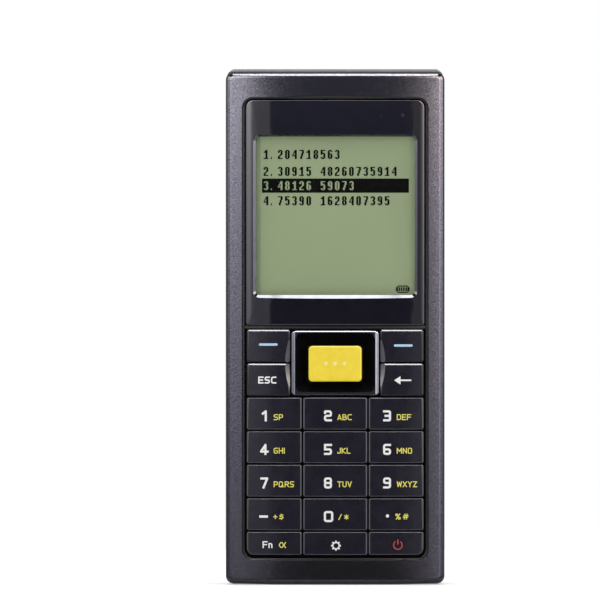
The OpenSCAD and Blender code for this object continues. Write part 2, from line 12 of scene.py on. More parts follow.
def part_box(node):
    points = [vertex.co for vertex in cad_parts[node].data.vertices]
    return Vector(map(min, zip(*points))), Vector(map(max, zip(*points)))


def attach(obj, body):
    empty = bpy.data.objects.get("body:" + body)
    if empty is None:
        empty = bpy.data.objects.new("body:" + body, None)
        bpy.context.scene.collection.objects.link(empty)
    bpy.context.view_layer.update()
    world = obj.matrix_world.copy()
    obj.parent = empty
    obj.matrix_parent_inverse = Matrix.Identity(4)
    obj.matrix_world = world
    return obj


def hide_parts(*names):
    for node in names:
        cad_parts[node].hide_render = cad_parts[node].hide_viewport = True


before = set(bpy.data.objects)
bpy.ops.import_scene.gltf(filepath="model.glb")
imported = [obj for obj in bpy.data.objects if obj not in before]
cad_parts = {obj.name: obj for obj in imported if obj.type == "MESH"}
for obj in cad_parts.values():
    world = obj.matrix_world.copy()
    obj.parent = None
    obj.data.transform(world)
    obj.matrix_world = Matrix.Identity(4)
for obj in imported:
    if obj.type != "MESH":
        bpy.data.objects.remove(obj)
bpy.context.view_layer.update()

bl_info = {
    "name": "Barcode terminal",
    "version": (1, 0, 0),
    "blender": (4, 5, 0),
    "location": "3D View > Sidebar > Terminal",
    "description": "Builds the finished surfaces of a handheld barcode data terminal round its packed frame",
    "category": "Add Mesh",
}

MM = 0.001
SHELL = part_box("front_housing")
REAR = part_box("rear_housing")
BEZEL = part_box("display_bezel")
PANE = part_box("display_window")
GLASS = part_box("lcd_glass")
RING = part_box("nav_ring")
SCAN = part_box("scan_key")
# The bezel covers the window's pane this far in from the pane's edge
PANE_MARGIN = 1.3 * MM

KEY_ROWS = (
    ("key_1", "key_2", "key_3"), ("key_4", "key_5", "key_6"), ("key_7", "key_8", "key_9"),
    ("key_minus", "key_0", "key_point"), ("key_fn", "key_settings", "key_power"),
)
SIDE_KEYS = ("key_soft_left", "key_soft_right", "key_escape", "key_back")
KEYS = SIDE_KEYS + tuple(key for row in KEY_ROWS for key in row)
KEY_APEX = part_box("key_2")[0].y
KEYS_LOW = min(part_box(key)[0].z for key in KEYS)
KEYS_HIGH = max(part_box(key)[1].z for key in KEYS)

# Points round each quarter turn of a corner, between the corners along an edge, and round a circle
CORNER_STEPS = 6
SHELL_STOPS, BEZEL_STOPS, RING_STOPS, SCAN_STOPS, KEY_STOPS = 34, 24, 16, 12, 8
CIRCLE_STEPS = 32

# A chamfer with eased edges, as shares of its size: (inset, depth below the face)
CHAMFER = ((0, 0.9), (0.02, 0.74), (0.06, 0.6), (0.84, 0.08), (0.95, 0.02), (1.1, 0))


def linear(code):
    """An sRGB hex colour such as #4d4b55 as a linear RGBA colour."""
    shares = [int(code[i:i + 2], 16) / 255 for i in (1, 3, 5)]
    return (*[s / 12.92 if s <= 0.04045 else ((s + 0.055) / 1.055) ** 2.4 for s in shares], 1.0)


# ------------------------------------------------------------------ settings


class TerminalBody(bpy.types.PropertyGroup):
    crown_radius: FloatProperty(
        name="Crown radius", description="Radius of the crown across the front face",
        default=190 * MM, unit="LENGTH")
    corner_radius: FloatProperty(
        name="Corner radius", description="Radius of the outline's corners", default=2 * MM, unit="LENGTH")
    edge_radius: FloatProperty(
        name="Edge radius", description="Rounding of the front housing's outer edge",
        default=1.4 * MM, unit="LENGTH")
    wall: FloatProperty(
        name="Wall", description="Thickness of the housing's walls", default=2 * MM, unit="LENGTH")
    ledge_depth: FloatProperty(
        name="Ledge depth", description="Depth of the ledge round the keypad and bezel",
        default=0.45 * MM, unit="LENGTH")
    paint_dark: FloatVectorProperty(
        name="Dark paint", description="Darker tone of the housing's metallic paint",
        subtype="COLOR", size=4, min=0.0, max=1.0, default=linear("#4a4951"))
    paint_light: FloatVectorProperty(
        name="Light paint", description="Lighter tone of the housing's metallic paint",
        subtype="COLOR", size=4, min=0.0, max=1.0, default=linear("#716f77"))
    paint_grain: FloatProperty(
        name="Paint grain", description="Size of a cluster of flakes in the paint",
        default=0.34 * MM, unit="LENGTH")


class TerminalDisplay(bpy.types.PropertyGroup):
    bezel_edge: FloatProperty(
        name="Bezel edge", description="Chamfer of the bezel's outer edge", default=0.3 * MM, unit="LENGTH")
    dot: FloatProperty(
        name="Dot pitch", description="Pitch of the display's dots", default=0.234 * MM, unit="LENGTH")


class TerminalKeypad(bpy.types.PropertyGroup):
    bevel: FloatProperty(
        name="Key bevel", description="Chamfer round each key face", default=0.36 * MM, unit="LENGTH")
    print_height: FloatProperty(
        name="Print height", description="How far the key marks stand above the key faces",
        default=0.03 * MM, unit="LENGTH")
    digit_height: FloatProperty(
        name="Digit height", description="Height of the large digits", default=2.9 * MM, unit="LENGTH")
    letter_height: FloatProperty(
        name="Letter height", description="Height of the letters beside the digits",
        default=1.55 * MM, unit="LENGTH")
    thumb_radius: FloatProperty(
        name="Thumb radius", description="Radius of the crescents beside the navigation ring",
        default=18 * MM, unit="LENGTH")
    thumb_reach: FloatProperty(
        name="Thumb reach", description="Furthest reach of the crescents from the middle",
        default=13.15 * MM, unit="LENGTH")
    scan_dark: FloatVectorProperty(
        name="Dark scan key", description="Deeper tone of the scan key",
        subtype="COLOR", size=4, min=0.0, max=1.0, default=linear("#f5d720"))
    scan_light: FloatVectorProperty(
        name="Light scan key", description="Paler tone of the scan key",
        subtype="COLOR", size=4, min=0.0, max=1.0, default=linear("#fde234"))


class TerminalStudio(bpy.types.PropertyGroup):
    distance: FloatProperty(
        name="Camera distance", description="Distance of the camera in front of the origin",
        default=3.007, unit="LENGTH")
    lens: FloatProperty(
        name="Lens", description="Focal length of the camera", default=684.0, unit="CAMERA")
    aside: FloatProperty(
        name="Aside", description="How far the camera stands to the left", default=9.24 * MM, unit="LENGTH")
    height: FloatProperty(
        name="Height", description="Height of the camera above the floor", default=74.8 * MM, unit="LENGTH")
    sky: FloatProperty(
        name="Sky", description="Strength of the even light from all round", default=0.95, min=0.0)


# ------------------------------------------------------------------ material tools


def add_node(tree, kind, inputs=None, **settings):
    """Adds a node. Settings are its attributes; inputs are values or the sockets to link from."""
    made = tree.nodes.new(kind)
    for name, value in settings.items():
        setattr(made, name, value)
    for name, value in (inputs or {}).items():
        if isinstance(value, bpy.types.NodeSocket):
            tree.links.new(value, made.inputs[name])
        else:
            made.inputs[name].default_value = value
    return made


def new_finish(name, **inputs):
    """A material of one Principled surface with these inputs, with its node tree and shader."""
    material = bpy.data.materials.new(name)
    material.use_nodes = True
    tree = material.node_tree
    tree.nodes.clear()
    shader = add_node(tree, "ShaderNodeBsdfPrincipled", {k.replace("_", " "): v for k, v in inputs.items()})
    add_node(tree, "ShaderNodeOutputMaterial", {"Surface": shader.outputs["BSDF"]})
    return material, tree, shader


def clouds(tree, size, detail=2.0):
    """A noise pattern whose blotches have this real size."""
    place = add_node(tree, "ShaderNodeTexCoord").outputs["Object"]
    noise = add_node(tree, "ShaderNodeTexNoise", {"Vector": place, "Scale": 1 / size, "Detail": detail})
    return noise.outputs["Fac"]


def two_tone(tree, shader, dark, light, pattern, contrast=0.25):
    """Runs the base colour from dark to light over the pattern. A tone is a hex code or a linear colour."""
    dark, light = (linear(tone) if isinstance(tone, str) else tone for tone in (dark, light))
    ramp = add_node(tree, "ShaderNodeMapRange", {
        "Value": pattern, "From Min": 0.5 - contrast, "From Max": 0.5 + contrast})
    mix = add_node(tree, "ShaderNodeMix", {
        "Factor": ramp.outputs["Result"], "A": dark, "B": light}, data_type="RGBA")
    tree.links.new(mix.outputs["Result"], shader.inputs["Base Color"])


def uneven_gloss(tree, shader, low, high, pattern):
    """Runs the roughness from low to high over the pattern."""
    ramp = add_node(tree, "ShaderNodeMapRange", {
        "Value": pattern, "From Min": 0.3, "From Max": 0.7, "To Min": low, "To Max": high})
    tree.links.new(ramp.outputs["Result"], shader.inputs["Roughness"])


def relief(tree, shader, pattern, depth):
    """Raises the pattern by a real depth."""
    bump = add_node(tree, "ShaderNodeBump", {"Height": pattern, "Distance": depth, "Strength": 1.0})
    tree.links.new(bump.outputs["Normal"], shader.inputs["Normal"])


def mottled(name, dark, light, blotch, detail=2.0, contrast=0.25, gloss=None, grain=None, **inputs):
    """A finish whose colour runs from dark to light over blotches of this size, with sizes in millimetres.

    gloss is (least roughness, most, blotch, detail), and grain is (size, depth, detail)."""
    material, tree, shader = new_finish(name, **inputs)
    two_tone(tree, shader, dark, light, clouds(tree, blotch * MM, detail), contrast)
    if gloss:
        uneven_gloss(tree, shader, gloss[0], gloss[1], clouds(tree, gloss[2] * MM, gloss[3]))
    if grain:
        relief(tree, shader, clouds(tree, grain[0] * MM, grain[2]), grain[1] * MM)
    return material


# ------------------------------------------------------------------ finishes

# What all pad-printed inks share: flat and satin, under the key's hard coat
INK = {"Roughness": 0.35, "IOR": 1.5}
# What all plain moulded inner parts share: satin, with a soft mottle
MOULDED = {"Roughness": 0.45, "IOR": 1.5, "grain": (0.4, 0.006, 2.0)}

# Each finish: dark and light tone, size of its blotches in millimetres, and what else mottled() takes
FINISHES = {
    # Dark charcoal ABS with a soft satin sheen: painted shade on the sunk ledge and crossbars round the opening,
    # and in the seam along the top's upper edge
    "painted_shade_satin_abs": ("#17171c", "#1d1d23", 1.2, dict(Roughness=0.3, IOR=1.53)),
    # ABS moulded in a spark-eroded tool: a fine dry matt grain with a weak broad highlight
    "spark_eroded_abs": ("#323136", "#414045", 0.5, dict(
        Roughness=0.5, IOR=1.33, detail=3.0, gloss=(0.42, 0.58, 6, 2.0), grain=(0.5, 0.03, 3.0))),
    # ABS on the rear shell's parting face above the front shell: paler than the skin beside it, a painted
    # highlight of the light from above
    "painted_highlight_abs": ("#a5a4a6", "#b0afb1", 2, dict(Roughness=0.4, IOR=1.33)),
    # Hard-coated polycarbonate from a polished tool: near black, mirror-like, with faint waves
    "hard_coated_polycarbonate": ("#15141d", "#1a1924", 3, dict(
        Roughness=0.05, IOR=1.585, Coat_Weight=0.6, grain=(9, 0.003, 0.0))),
    # Hot-stamped silver foil on the slope round the display: it flashes white where it faces a lamp
    "silver_foil": ("#5a5a60", "#646469", 2, dict(Metallic=1.0, Roughness=0.12)),
    # Key caps in hard-coated black polycarbonate: glossy, with a soft haze from handling
    "hard_coated_key_caps": ("#1e1c26", "#26242f", 4, dict(
        Roughness=0.1, IOR=1.585, gloss=(0.07, 0.15, 2.5, 3.0), grain=(7, 0.002, 0.0))),
    # Chamfer of a cap, a lighter grey than the cap: a painted highlight that shows as a thin grey line of light
    "painted_highlight_cap_edge": ("#4e4e55", "#5c5c63", 2, dict(Roughness=0.12, IOR=1.585)),
    # Upper edge of a side key, a lighter grey under a full hard coat: a painted highlight that shows as a bright
    # crisp line
    "painted_highlight_side_edge": ("#4e4e55", "#5c5c63", 2, dict(Roughness=0.06, IOR=1.585, Coat_Weight=1.0)),
    # Hot-stamped bright foil on the ring's rim: a hard thin line that mirrors the lamps beside it
    "bright_foil": ("#96969e", "#a2a2aa", 2, dict(Metallic=1.0, Roughness=0.1)),
    # The ring's dish: near black, far darker than the caps, as painted shade in the deep recess, with a matt
    # spark-eroded grain
    "painted_shade_dish": ("#060608", "#0a0a0d", 1.5, dict(Roughness=0.4, IOR=1.06, grain=(0.3, 0.004, 2.0))),
    # Smoked acrylic in front of a lamp that is off: a little lighter than the panel round it
    "smoked_acrylic": ("#34343e", "#3a3a45", 1, dict(Roughness=0.1, IOR=1.49)),
    # A darker, duller green strip inside the window's left edge: a painted shadow of the bezel's edge on the
    # display
    "painted_shadow_lcd": ("#8f9c7c", "#95a281", 3, dict(Roughness=0.5, IOR=1.2)),
    # Switched-on liquid crystal: black with hardly any shine, since it lies inside the cell
    "switched_lcd_dots": ("#080a06", "#10120c", 0.8, dict(Roughness=0.6, IOR=1.05)),
    # Clear light pipes that end in the yellow key: pale, smooth and slightly domed
    "light_pipe_ends": ("#fbe88e", "#fdf2b4", 0.4, dict(Roughness=0.2, IOR=1.5)),
    # Compression-moulded silicone: near black, soft and dull, with a bloom in patches
    "silicone_rubber": ("#121214", "#1d1d20", 3, dict(
        Roughness=0.65, IOR=1.2, detail=3.0, grain=(0.4, 0.01, 2.0))),
    # Zinc-plated steel: bright, with fine uneven crystals and a few duller patches
    "zinc_plated_steel": ("#a5a6a8", "#c3c4c6", 1.5, dict(
        Metallic=1.0, detail=3.0, gloss=(0.25, 0.42, 0.8, 3.0))),
    # Gold flash over nickel on contact springs: warm and smooth, with light rub marks
    "gold_flash": ("#c99a45", "#dcb362", 1.2, dict(Metallic=1.0, detail=3.0, gloss=(0.18, 0.34, 0.5, 3.0))),
    # Dyed acrylic of the scan window: dark polished ruby, clear only to the scanner's own red light
    "dyed_acrylic": ("#32070b", "#480b10", 6, dict(Roughness=0.08, IOR=1.35)),
    # Glass-epoxy board under green solder mask: satin, with the copper below as paler patches
    "solder_mask": ("#1d4f31", "#27633f", 2.5, dict(Roughness=0.35, IOR=1.5, detail=3.0, contrast=0.1)),
    # Pad-printed inks, flat and even with a slight mottle
    "white_ink": ("#e8e8e8", "#f6f6f4", 0.3, INK),
    "yellow_ink": ("#ded752", "#ebe468", 0.3, INK),
    "blue_ink": ("#9cc6ea", "#b8dcf6", 0.3, INK),
    "red_ink": ("#9c2a2d", "#b03438", 0.3, INK),
    # Milky acrylic behind the display, which spreads the backlight evenly
    "light_guide": ("#dcdcd4", "#eaeae2", 8, MOULDED),
    # Amber polyimide film of the ribbon
    "polyimide_film": ("#a8641c", "#c07c2c", 2, MOULDED),
    # Black epoxy of the components
    "epoxy_package": ("#17171a", "#212125", 1.5, MOULDED),
    # Black glass-filled housing of the scan engine and the dock block
    "engine_housing": ("#232327", "#2f2f34", 2, MOULDED),
    # Natural acetal of the rocker: off-white and waxy
    "acetal": ("#c4c4be", "#d2d2cc", 3, MOULDED),
    # Slate shrink film round the battery's cells
    "shrink_wrap": ("#39404c", "#485060", 10, MOULDED),
    # ABS of the latch, a lighter grey than the cover so that it is found by eye
    "latch_abs": ("#48474f", "#57565e", 1, MOULDED),
}


def finish(name):
    """A new material of this kind from the table."""
    dark, light, blotch, rest = FINISHES[name]
    return mottled(name, dark, light, blotch, **rest)


def metallic_paint():
    """Satin metallic paint, sprayed on moulded ABS: its flakes sparkle finely where a lamp is reflected.

    Real flakes of 0.03 mm are too fine to show, so their clusters are drawn ten times as coarse."""
    body = bpy.context.scene.terminal_body
    flake = body.paint_grain / MM
    return mottled("satin_metallic_paint", body.paint_dark, body.paint_light, flake, 1.0, 0.24,
                   gloss=(0.13, 0.17, flake, 1.0), grain=(0.8 * flake, 0.002, 1.0), Metallic=0.94, Roughness=0.15)


def scan_yellow():
    """Translucent yellow polycarbonate with a fine matt grain, which keeps its colour bright to the edges."""
    keypad = bpy.context.scene.terminal_keypad
    return mottled("yellow_polycarbonate", keypad.scan_dark, keypad.scan_light, 2.5,
                   grain=(0.35, 0.003, 2.0), Roughness=0.3, IOR=1.55)


def clear_pane():
    """Cast acrylic, clear and polished: it reflects at its skin and lets light and shadow rays through."""
    material, tree, shader = new_finish(
        "cast_acrylic", Base_Color=linear("#fdfefd"), Roughness=0.02, IOR=1.49, Transmission_Weight=1.0)
    uneven_gloss(tree, shader, 0.01, 0.03, clouds(tree, 5 * MM))
    rays = add_node(tree, "ShaderNodeLightPath")
    straight = add_node(tree, "ShaderNodeMath", {
        0: rays.outputs["Is Shadow Ray"], 1: rays.outputs["Is Diffuse Ray"]}, operation="MAXIMUM")
    open_way = add_node(tree, "ShaderNodeBsdfTransparent", {"Color": linear("#fdfefd")})
    mix = add_node(tree, "ShaderNodeMixShader", {
        0: straight.outputs[0], 1: shader.outputs["BSDF"], 2: open_way.outputs["BSDF"]})
    output = next(n for n in tree.nodes if n.type == "OUTPUT_MATERIAL")
    tree.links.new(mix.outputs["Shader"], output.inputs["Surface"])
    return material


def reflective_lcd():
    """A transflective display under its polariser: grey green, with a faint grid and a faint glow in its own
    colour, partly a backlight and partly painted light that lifts the shade near the window's walls.
    """
    dot = bpy.context.scene.terminal_display.dot
    material, tree, shader = new_finish("lcd_polariser", Roughness=0.5, IOR=1.2)
    place = add_node(tree, "ShaderNodeTexCoord").outputs["Object"]
    turned = add_node(tree, "ShaderNodeMapping", {"Vector": place, "Rotation": (math.pi / 2, 0, 0)})
    cells = add_node(tree, "ShaderNodeTexBrick", {
        "Vector": turned.outputs["Vector"], "Color1": linear("#909d7a"), "Color2": linear("#8e9b78"),
        "Mortar": linear("#889573"), "Scale": 1.0, "Mortar Size": dot * 0.06, "Mortar Smooth": 0.4,
        "Brick Width": dot, "Row Height": dot}, offset=0.0)
    shade = add_node(tree, "ShaderNodeMix", {
        "Factor": clouds(tree, 30 * MM, 1.0), "A": cells.outputs["Color"], "B": linear("#94a07f")},
        data_type="RGBA")
    tree.links.new(shade.outputs["Result"], shader.inputs["Base Color"])
    # The glow is partly a backlight and partly painted light, which lifts the shade near the window's walls
    tree.links.new(shade.outputs["Result"], shader.inputs["Emission Color"])
    shader.inputs["Emission Strength"].default_value = 0.18
    return material


# ------------------------------------------------------------------ mesh tools


def crown(apex, x):
    """Depth of the crowned face at x, where its highest line has this depth."""
    radius = bpy.context.scene.terminal_body.crown_radius
    return apex + radius - math.sqrt(radius * radius - x * x)


def even_stops(count):
    """Shares from -1 to 1 of the places between an edge's corners."""
    return [2 * (i + 1) / (count + 1) - 1 for i in range(count)]


def edge(span, level, radii, side, stops, shift):
    """The lower (side -1) or upper (side 1) edge of a rounded rectangle, from left to right."""
    (left, right), (r0, r1) = span, radii
    turn = [math.pi / 2 * i / CORNER_STEPS for i in range(CORNER_STEPS + 1)]
    middle, reach = (left + r0 + right - r1) / 2, (right - r1 - left - r0) / 2
    points = [(left + r0 * (1 - math.cos(a)), level - side * r0 * (1 - math.sin(a))) for a in turn]
    points += [(middle + reach * s, level) for s in stops]
    points += [(right - r1 * (1 - math.sin(a)), level - side * r1 * (1 - math.cos(a))) for a in turn]
    return [(x, z + (shift(x) if shift else 0)) for x, z in points]


def outline(across, up, radii, stops, low_shift=None, high_shift=None):
    """A closed rounded rectangle as (x, z): its lower edge to the right, then its upper edge back to the left.

    radii are those of the lower-left, lower-right, upper-right and upper-left corners."""
    low = edge(across, up[0], (radii[0], radii[1]), -1, stops, low_shift)
    high = edge(across, up[1], (radii[3], radii[2]), 1, stops, high_shift)
    return low + high[::-1]


def grow(span, d):
    """A span that reaches further out by d at both ends."""
    return (span[0] - d, span[1] + d)


def spans(box):
    """The spans of a box across and up."""
    low, high = box
    return (low.x, high.x), (low.z, high.z)


def window_spans():
    """The clear part of the display's window, across and up."""
    return [grow(span, -PANE_MARGIN) for span in spans(PANE)]


def circle(centre, radius, steps=CIRCLE_STEPS):
    """Points round a circle, in two coordinates."""
    turn = [2 * math.pi * i / steps for i in range(steps)]
    return [(centre[0] + radius * math.cos(a), centre[1] + radius * math.sin(a)) for a in turn]


def grown_radii(radii, d):
    return [max(r + d, 0.1 * MM) for r in radii]


def on_crown(points, apex):
    return [Vector((x, crown(apex, x), z)) for x, z in points]


def at_depth(points, y):
    return [Vector((x, y, z)) for x, z in points]


def between(a, b, share):
    return [p.lerp(q, share) for p, q in zip(a, b)]


def seated(ring, apex):
    """The ring laid onto the crowned face."""
    return [Vector((p.x, crown(apex, p.x), p.z)) for p in ring]


def crowned_rings(across, up, radii, apex, profile, stops, upright=1.0):
    """Rings over a crowned face's rounded edge; profile lists (inset, depth below the face).

    upright is the share of the inset taken at the upper and lower edges."""
    rings = []
    for inset, sink in profile:
        points = outline(grow(across, -inset), grow(up, -inset * upright), grown_radii(radii, -inset), stops)
        rings.append(on_crown(points, apex + sink))
    return rings


def arc_profile(radius, steps=5):
    """A quarter round from the side to the face, as (inset, depth below the face)."""
    turn = [math.pi / 2 * i / steps for i in range(steps + 1)]
    return [(radius * (1 - math.cos(a)), radius * (1 - math.sin(a))) for a in turn]


def scaled(profile, size):
    return [(inset * size, sink * size) for inset, sink in profile]


def meet_crown(low, high, apex):
    """The point where the line from low to high meets the crowned face."""
    near, far = 0.0, 1.0
    for _ in range(30):
        middle = (near + far) / 2
        p = low.lerp(high, middle)
        if p.y > crown(apex, p.x):
            near = middle
        else:
            far = middle
    return low.lerp(high, near)


def loft(rings, closed=False, face=False, front=False, back=False, bm=None):
    """Quads between rings of equal length, which closed carries on from the last to the first.

    back fills the first ring and front the last one. face also fills the last one, in strips along a crown."""
    bm = bm or bmesh.new()
    rows = [[bm.verts.new(p) for p in ring] for ring in rings]
    count = len(rows[0])
    for a, b in zip(rows, rows[1:] + (rows[:1] if closed else [])):
        for i in range(count):
            j = (i + 1) % count
            bm.faces.new((a[i], a[j], b[j], b[i]))
    last = rows[-1]
    if face:
        for i in range(count // 2 - 1):
            bm.faces.new((last[i], last[i + 1], last[-2 - i], last[-1 - i]))
    if back:
        bm.faces.new(rows[0][::-1])
    if front:
        bm.faces.new(last)
    return bm


def box_mesh(across, deep, up, bm=None):
    """A plain bar over three spans."""
    (left, right), (low, high) = across, up
    corners = ((left, low), (right, low), (right, high), (left, high))
    return loft([at_depth(corners, deep[1]), at_depth(corners, deep[0])], face=True, back=True, bm=bm)


def drum(centre, radius, deep, bm=None):
    """A closed round bar along Y at (x, z)."""
    rim = circle(centre, radius)
    return loft([at_depth(rim, deep[1]), at_depth(rim, deep[0])], front=True, back=True, bm=bm)


def to_object(name, bm):
    bmesh.ops.recalc_face_normals(bm, faces=bm.faces)
    mesh = bpy.data.meshes.new(name)
    bm.to_mesh(mesh)
    bm.free()
    made = bpy.data.objects.new(name, mesh)
    bpy.context.scene.collection.objects.link(made)
    return made


def cut(target, cutter_mesh):
    """Takes the closed mesh away from the target and applies the result."""
    cutter = to_object("cutter", cutter_mesh)
    boolean = target.modifiers.new("Cut", "BOOLEAN")
    boolean.operation, boolean.solver, boolean.object = "DIFFERENCE", "EXACT", cutter
    graph = bpy.context.evaluated_depsgraph_get()
    result = bpy.data.meshes.new_from_object(target.evaluated_get(graph))
    target.modifiers.clear()
    target.data = result
    bpy.data.objects.remove(cutter)


def dress(piece, materials, body, replaced=(), sharp=38):
    """Gives a piece its finishes, its shading, the body it rides on and the CAD nodes that it stands for."""
    piece.data.materials.clear()
    for material in materials:
        piece.data.materials.append(material)
    piece.data.shade_smooth()
    piece.data.set_sharp_from_angle(angle=math.radians(sharp))
    weighted = piece.modifiers.new("Weighted normals", "WEIGHTED_NORMAL")
    weighted.keep_sharp = True
    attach(piece, body)
    if replaced:
        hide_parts(*replaced)
    return piece


def share_out(piece, choose):
    """Gives each face the finish whose place among the piece's finishes the function returns.

    The functions look at the share of a face's normal towards the front, which is 1 on a face turned straight
    to it."""
    for face in piece.data.polygons:
        face.material_index = int(choose(face))


# ------------------------------------------------------------------ stage


def light_card(name, corner, along, rise, level, tints, along_ramp, rise_ramp, glow=(0, 1)):
    """A lit card that only gloss sees, spread from a corner over two edges.

    A ramp is (reach, power, least): along that edge the light grows from this least share of the level to all of
    it at this share of the edge. The tints are those of its low and high ends. A glow of (level, reach) is added
    at its first side and fades out at this share of the first edge."""
    along, rise = Vector(along), Vector(rise)
    bm = bmesh.new()
    bm.faces.new([bm.verts.new(p) for p in ((0, 0, 0), (1, 0, 0), (1, 1, 0), (0, 1, 0))])
    card = to_object(name, bm)
    card.matrix_world = Matrix((*zip(along, rise, along.cross(rise), corner), (0, 0, 0, 1)))
    material = bpy.data.materials.new(name)
    material.use_nodes = True
    tree = material.node_tree
    tree.nodes.clear()
    place = add_node(tree, "ShaderNodeTexCoord").outputs["Object"]
    parts = add_node(tree, "ShaderNodeSeparateXYZ", {"Vector": place})
    shares = []
    for way, (reach, power, least) in zip("XY", (along_ramp, rise_ramp)):
        share = add_node(tree, "ShaderNodeMapRange", {"Value": parts.outputs[way], "From Max": reach})
        bent = add_node(tree, "ShaderNodeMath", {0: share.outputs["Result"], 1: power}, operation="POWER")
        shares.append(add_node(tree, "ShaderNodeMapRange", {"Value": bent.outputs[0], "To Min": least}))
    both = add_node(tree, "ShaderNodeMath", {
        0: shares[0].outputs["Result"], 1: shares[1].outputs["Result"]}, operation="MULTIPLY")
    near = add_node(tree, "ShaderNodeMapRange", {
        "Value": parts.outputs["X"], "From Max": glow[1], "To Min": glow[0], "To Max": 0.0})
    strength = add_node(tree, "ShaderNodeMath", {
        0: both.outputs[0], 1: level, 2: near.outputs["Result"]}, operation="MULTIPLY_ADD")
    tint = add_node(tree, "ShaderNodeMix", {
        "Factor": shares[1].outputs["Result"], "A": linear(tints[0]), "B": linear(tints[1])}, data_type="RGBA")
    lit = add_node(tree, "ShaderNodeEmission", {"Color": tint.outputs["Result"], "Strength": strength.outputs[0]})
    add_node(tree, "ShaderNodeOutputMaterial", {"Surface": lit.outputs[0]})
    card.data.materials.append(material)
    for way in ("camera", "shadow", "transmission", "diffuse"):
        setattr(card, "visible_" + way, False)
    return card


class TERMINAL_OT_stage(bpy.types.Operator):
    """Sets the floor, the studio's light and the camera"""

    bl_idname = "terminal.stage"
    bl_label = "Stage"

    # Ramps of the cards' light: the same all over, and growing upwards
    EVEN = (1, 1, 1)
    UPWARD = (0.42, 2.7, 0.065)
    # Tints of the cards' low and high ends
    COOL, WARM = ("#f0f1ff", "#fffcf6"), ("#f2f4ff", "#ffeedd")
    WHITE, PALE_BLUE = ("#ffffff", "#ffffff"), ("#d4daff", "#d4daff")
    # The upright edge of the cards at both sides
    RISE = (0, 0, 0.66)
    # What light_card() takes for each card, in its order
    CARDS = (
        ("left_card", (-0.163, -0.8, -0.06), (-0.5, 0, 0), RISE, 6.6, COOL, (0.14, 4.0, 0.08), UPWARD,
         (0.36, 0.22)),
        ("left_side_card", (-0.68, -0.8, -0.06), (0, 0.85, 0), RISE, 3.6, COOL, EVEN, UPWARD),
        ("right_card", (0.197, -0.8, -0.06), (0.5, 0, 0), RISE, 8.4, WARM, (0.16, 5.2, 0.02),
         (0.42, 2.6, 0.125), (0.28, 0.22)),
        ("right_side_card", (0.7, -0.8, -0.06), (0, 0.85, 0), RISE, 6.5, WARM, EVEN, UPWARD),
        ("top_card", (-0.21, -0.75, 0.75), (0.47, 0, 0), (0, 0.75, 0), 8.5, WHITE, EVEN, EVEN),
        ("front_card", (-0.2, -0.82, 0.1), (0.42, 0, 0), (0, 0, 0.5), 0.18, PALE_BLUE, EVEN, (0.1, 1, 0)),
    )
    FLOOR_RADIUS = 0.42
    FLOOR_STEPS = 96
    # Strength of the floor's own light to the camera, which brings it up to white
    FLOOR_GLOW = 0.35

    def execute(self, context):
        studio = context.scene.terminal_studio
        self.make_floor()
        self.make_world(context, studio)
        for card in self.CARDS:
            light_card(*card)
        self.make_camera(context, studio)
        context.scene.view_settings.view_transform = "Standard"
        return {"FINISHED"}

    def make_floor(self):
        bm = bmesh.new()
        bm.faces.new([bm.verts.new((x, y, 0)) for x, y in circle((0, 0), self.FLOOR_RADIUS, self.FLOOR_STEPS)])
        floor = to_object("floor", bm)
        material, tree, shader = new_finish("pale_floor", Roughness=0.9, IOR=1.3)
        two_tone(tree, shader, "#f0f0f0", "#f4f4f4", clouds(tree, 60 * MM))
        rays = add_node(tree, "ShaderNodeLightPath")
        glow = add_node(tree, "ShaderNodeMath", {
            0: rays.outputs["Is Camera Ray"], 1: self.FLOOR_GLOW}, operation="MULTIPLY")
        tree.links.new(glow.outputs[0], shader.inputs["Emission Strength"])
        shader.inputs["Emission Color"].default_value = (1, 1, 1, 1)
        floor.data.materials.append(material)
        floor.visible_glossy = False

    def make_world(self, context, studio):
        """White to the camera and an even glow for shading. Gloss sees a dim studio, with a white backdrop behind
        and a pale floor that darkens towards the object's foot."""
        world = bpy.data.worlds.new("studio")
        context.scene.world = world
        world.use_nodes = True
        tree = world.node_tree
        tree.nodes.clear()
        rays = add_node(tree, "ShaderNodeLightPath")
        direction = add_node(tree, "ShaderNodeTexCoord").outputs["Generated"]
        parts = add_node(tree, "ShaderNodeSeparateXYZ", {"Vector": direction})

        def rise(way, start, stop, low, high):
            """A level that runs from low to high as this part of the direction goes from start to stop."""
            ramp = add_node(tree, "ShaderNodeMapRange", {
                "Value": parts.outputs[way], "From Min": start, "From Max": stop, "To Min": low, "To Max": high},
                interpolation_type="SMOOTHSTEP")
            return ramp.outputs["Result"]

        backdrop = rise("Y", 0.1, 0.6, 0.025, 0.45)
        ground, foot = rise("Z", -0.1, -0.3, 0.0, 0.3), rise("Z", -0.6, -0.9, 1.0, 0.4)
        studio_light = add_node(tree, "ShaderNodeMath", {
            0: ground, 1: foot, 2: backdrop}, operation="MULTIPLY_ADD")
        shiny = add_node(tree, "ShaderNodeMath", {
            0: rays.outputs["Is Glossy Ray"], 1: rays.outputs["Is Transmission Ray"]}, operation="MAXIMUM")
        level = add_node(tree, "ShaderNodeMix", {
            "Factor": shiny.outputs[0], "A": studio.sky, "B": studio_light.outputs[0]})
        seen = add_node(tree, "ShaderNodeMix", {
            "Factor": rays.outputs["Is Camera Ray"], "A": level.outputs[0], "B": 1.0})
        sky = add_node(tree, "ShaderNodeBackground", {"Color": (1, 1, 1, 1), "Strength": seen.outputs[0]})
        add_node(tree, "ShaderNodeOutputWorld", {"Surface": sky.outputs[0]})

    def make_camera(self, context, studio):
        camera = bpy.data.cameras.new("camera")
        camera.lens = studio.lens
        camera.sensor_width = 36
        camera.clip_start = 0.1
        camera.clip_end = 50
        made = bpy.data.objects.new("camera", camera)
        made.location = (-studio.aside, -studio.distance, studio.height)
        made.rotation_euler = (math.pi / 2, 0, 0)
        context.scene.collection.objects.link(made)
        context.scene.camera = made


# ------------------------------------------------------------------ front housing


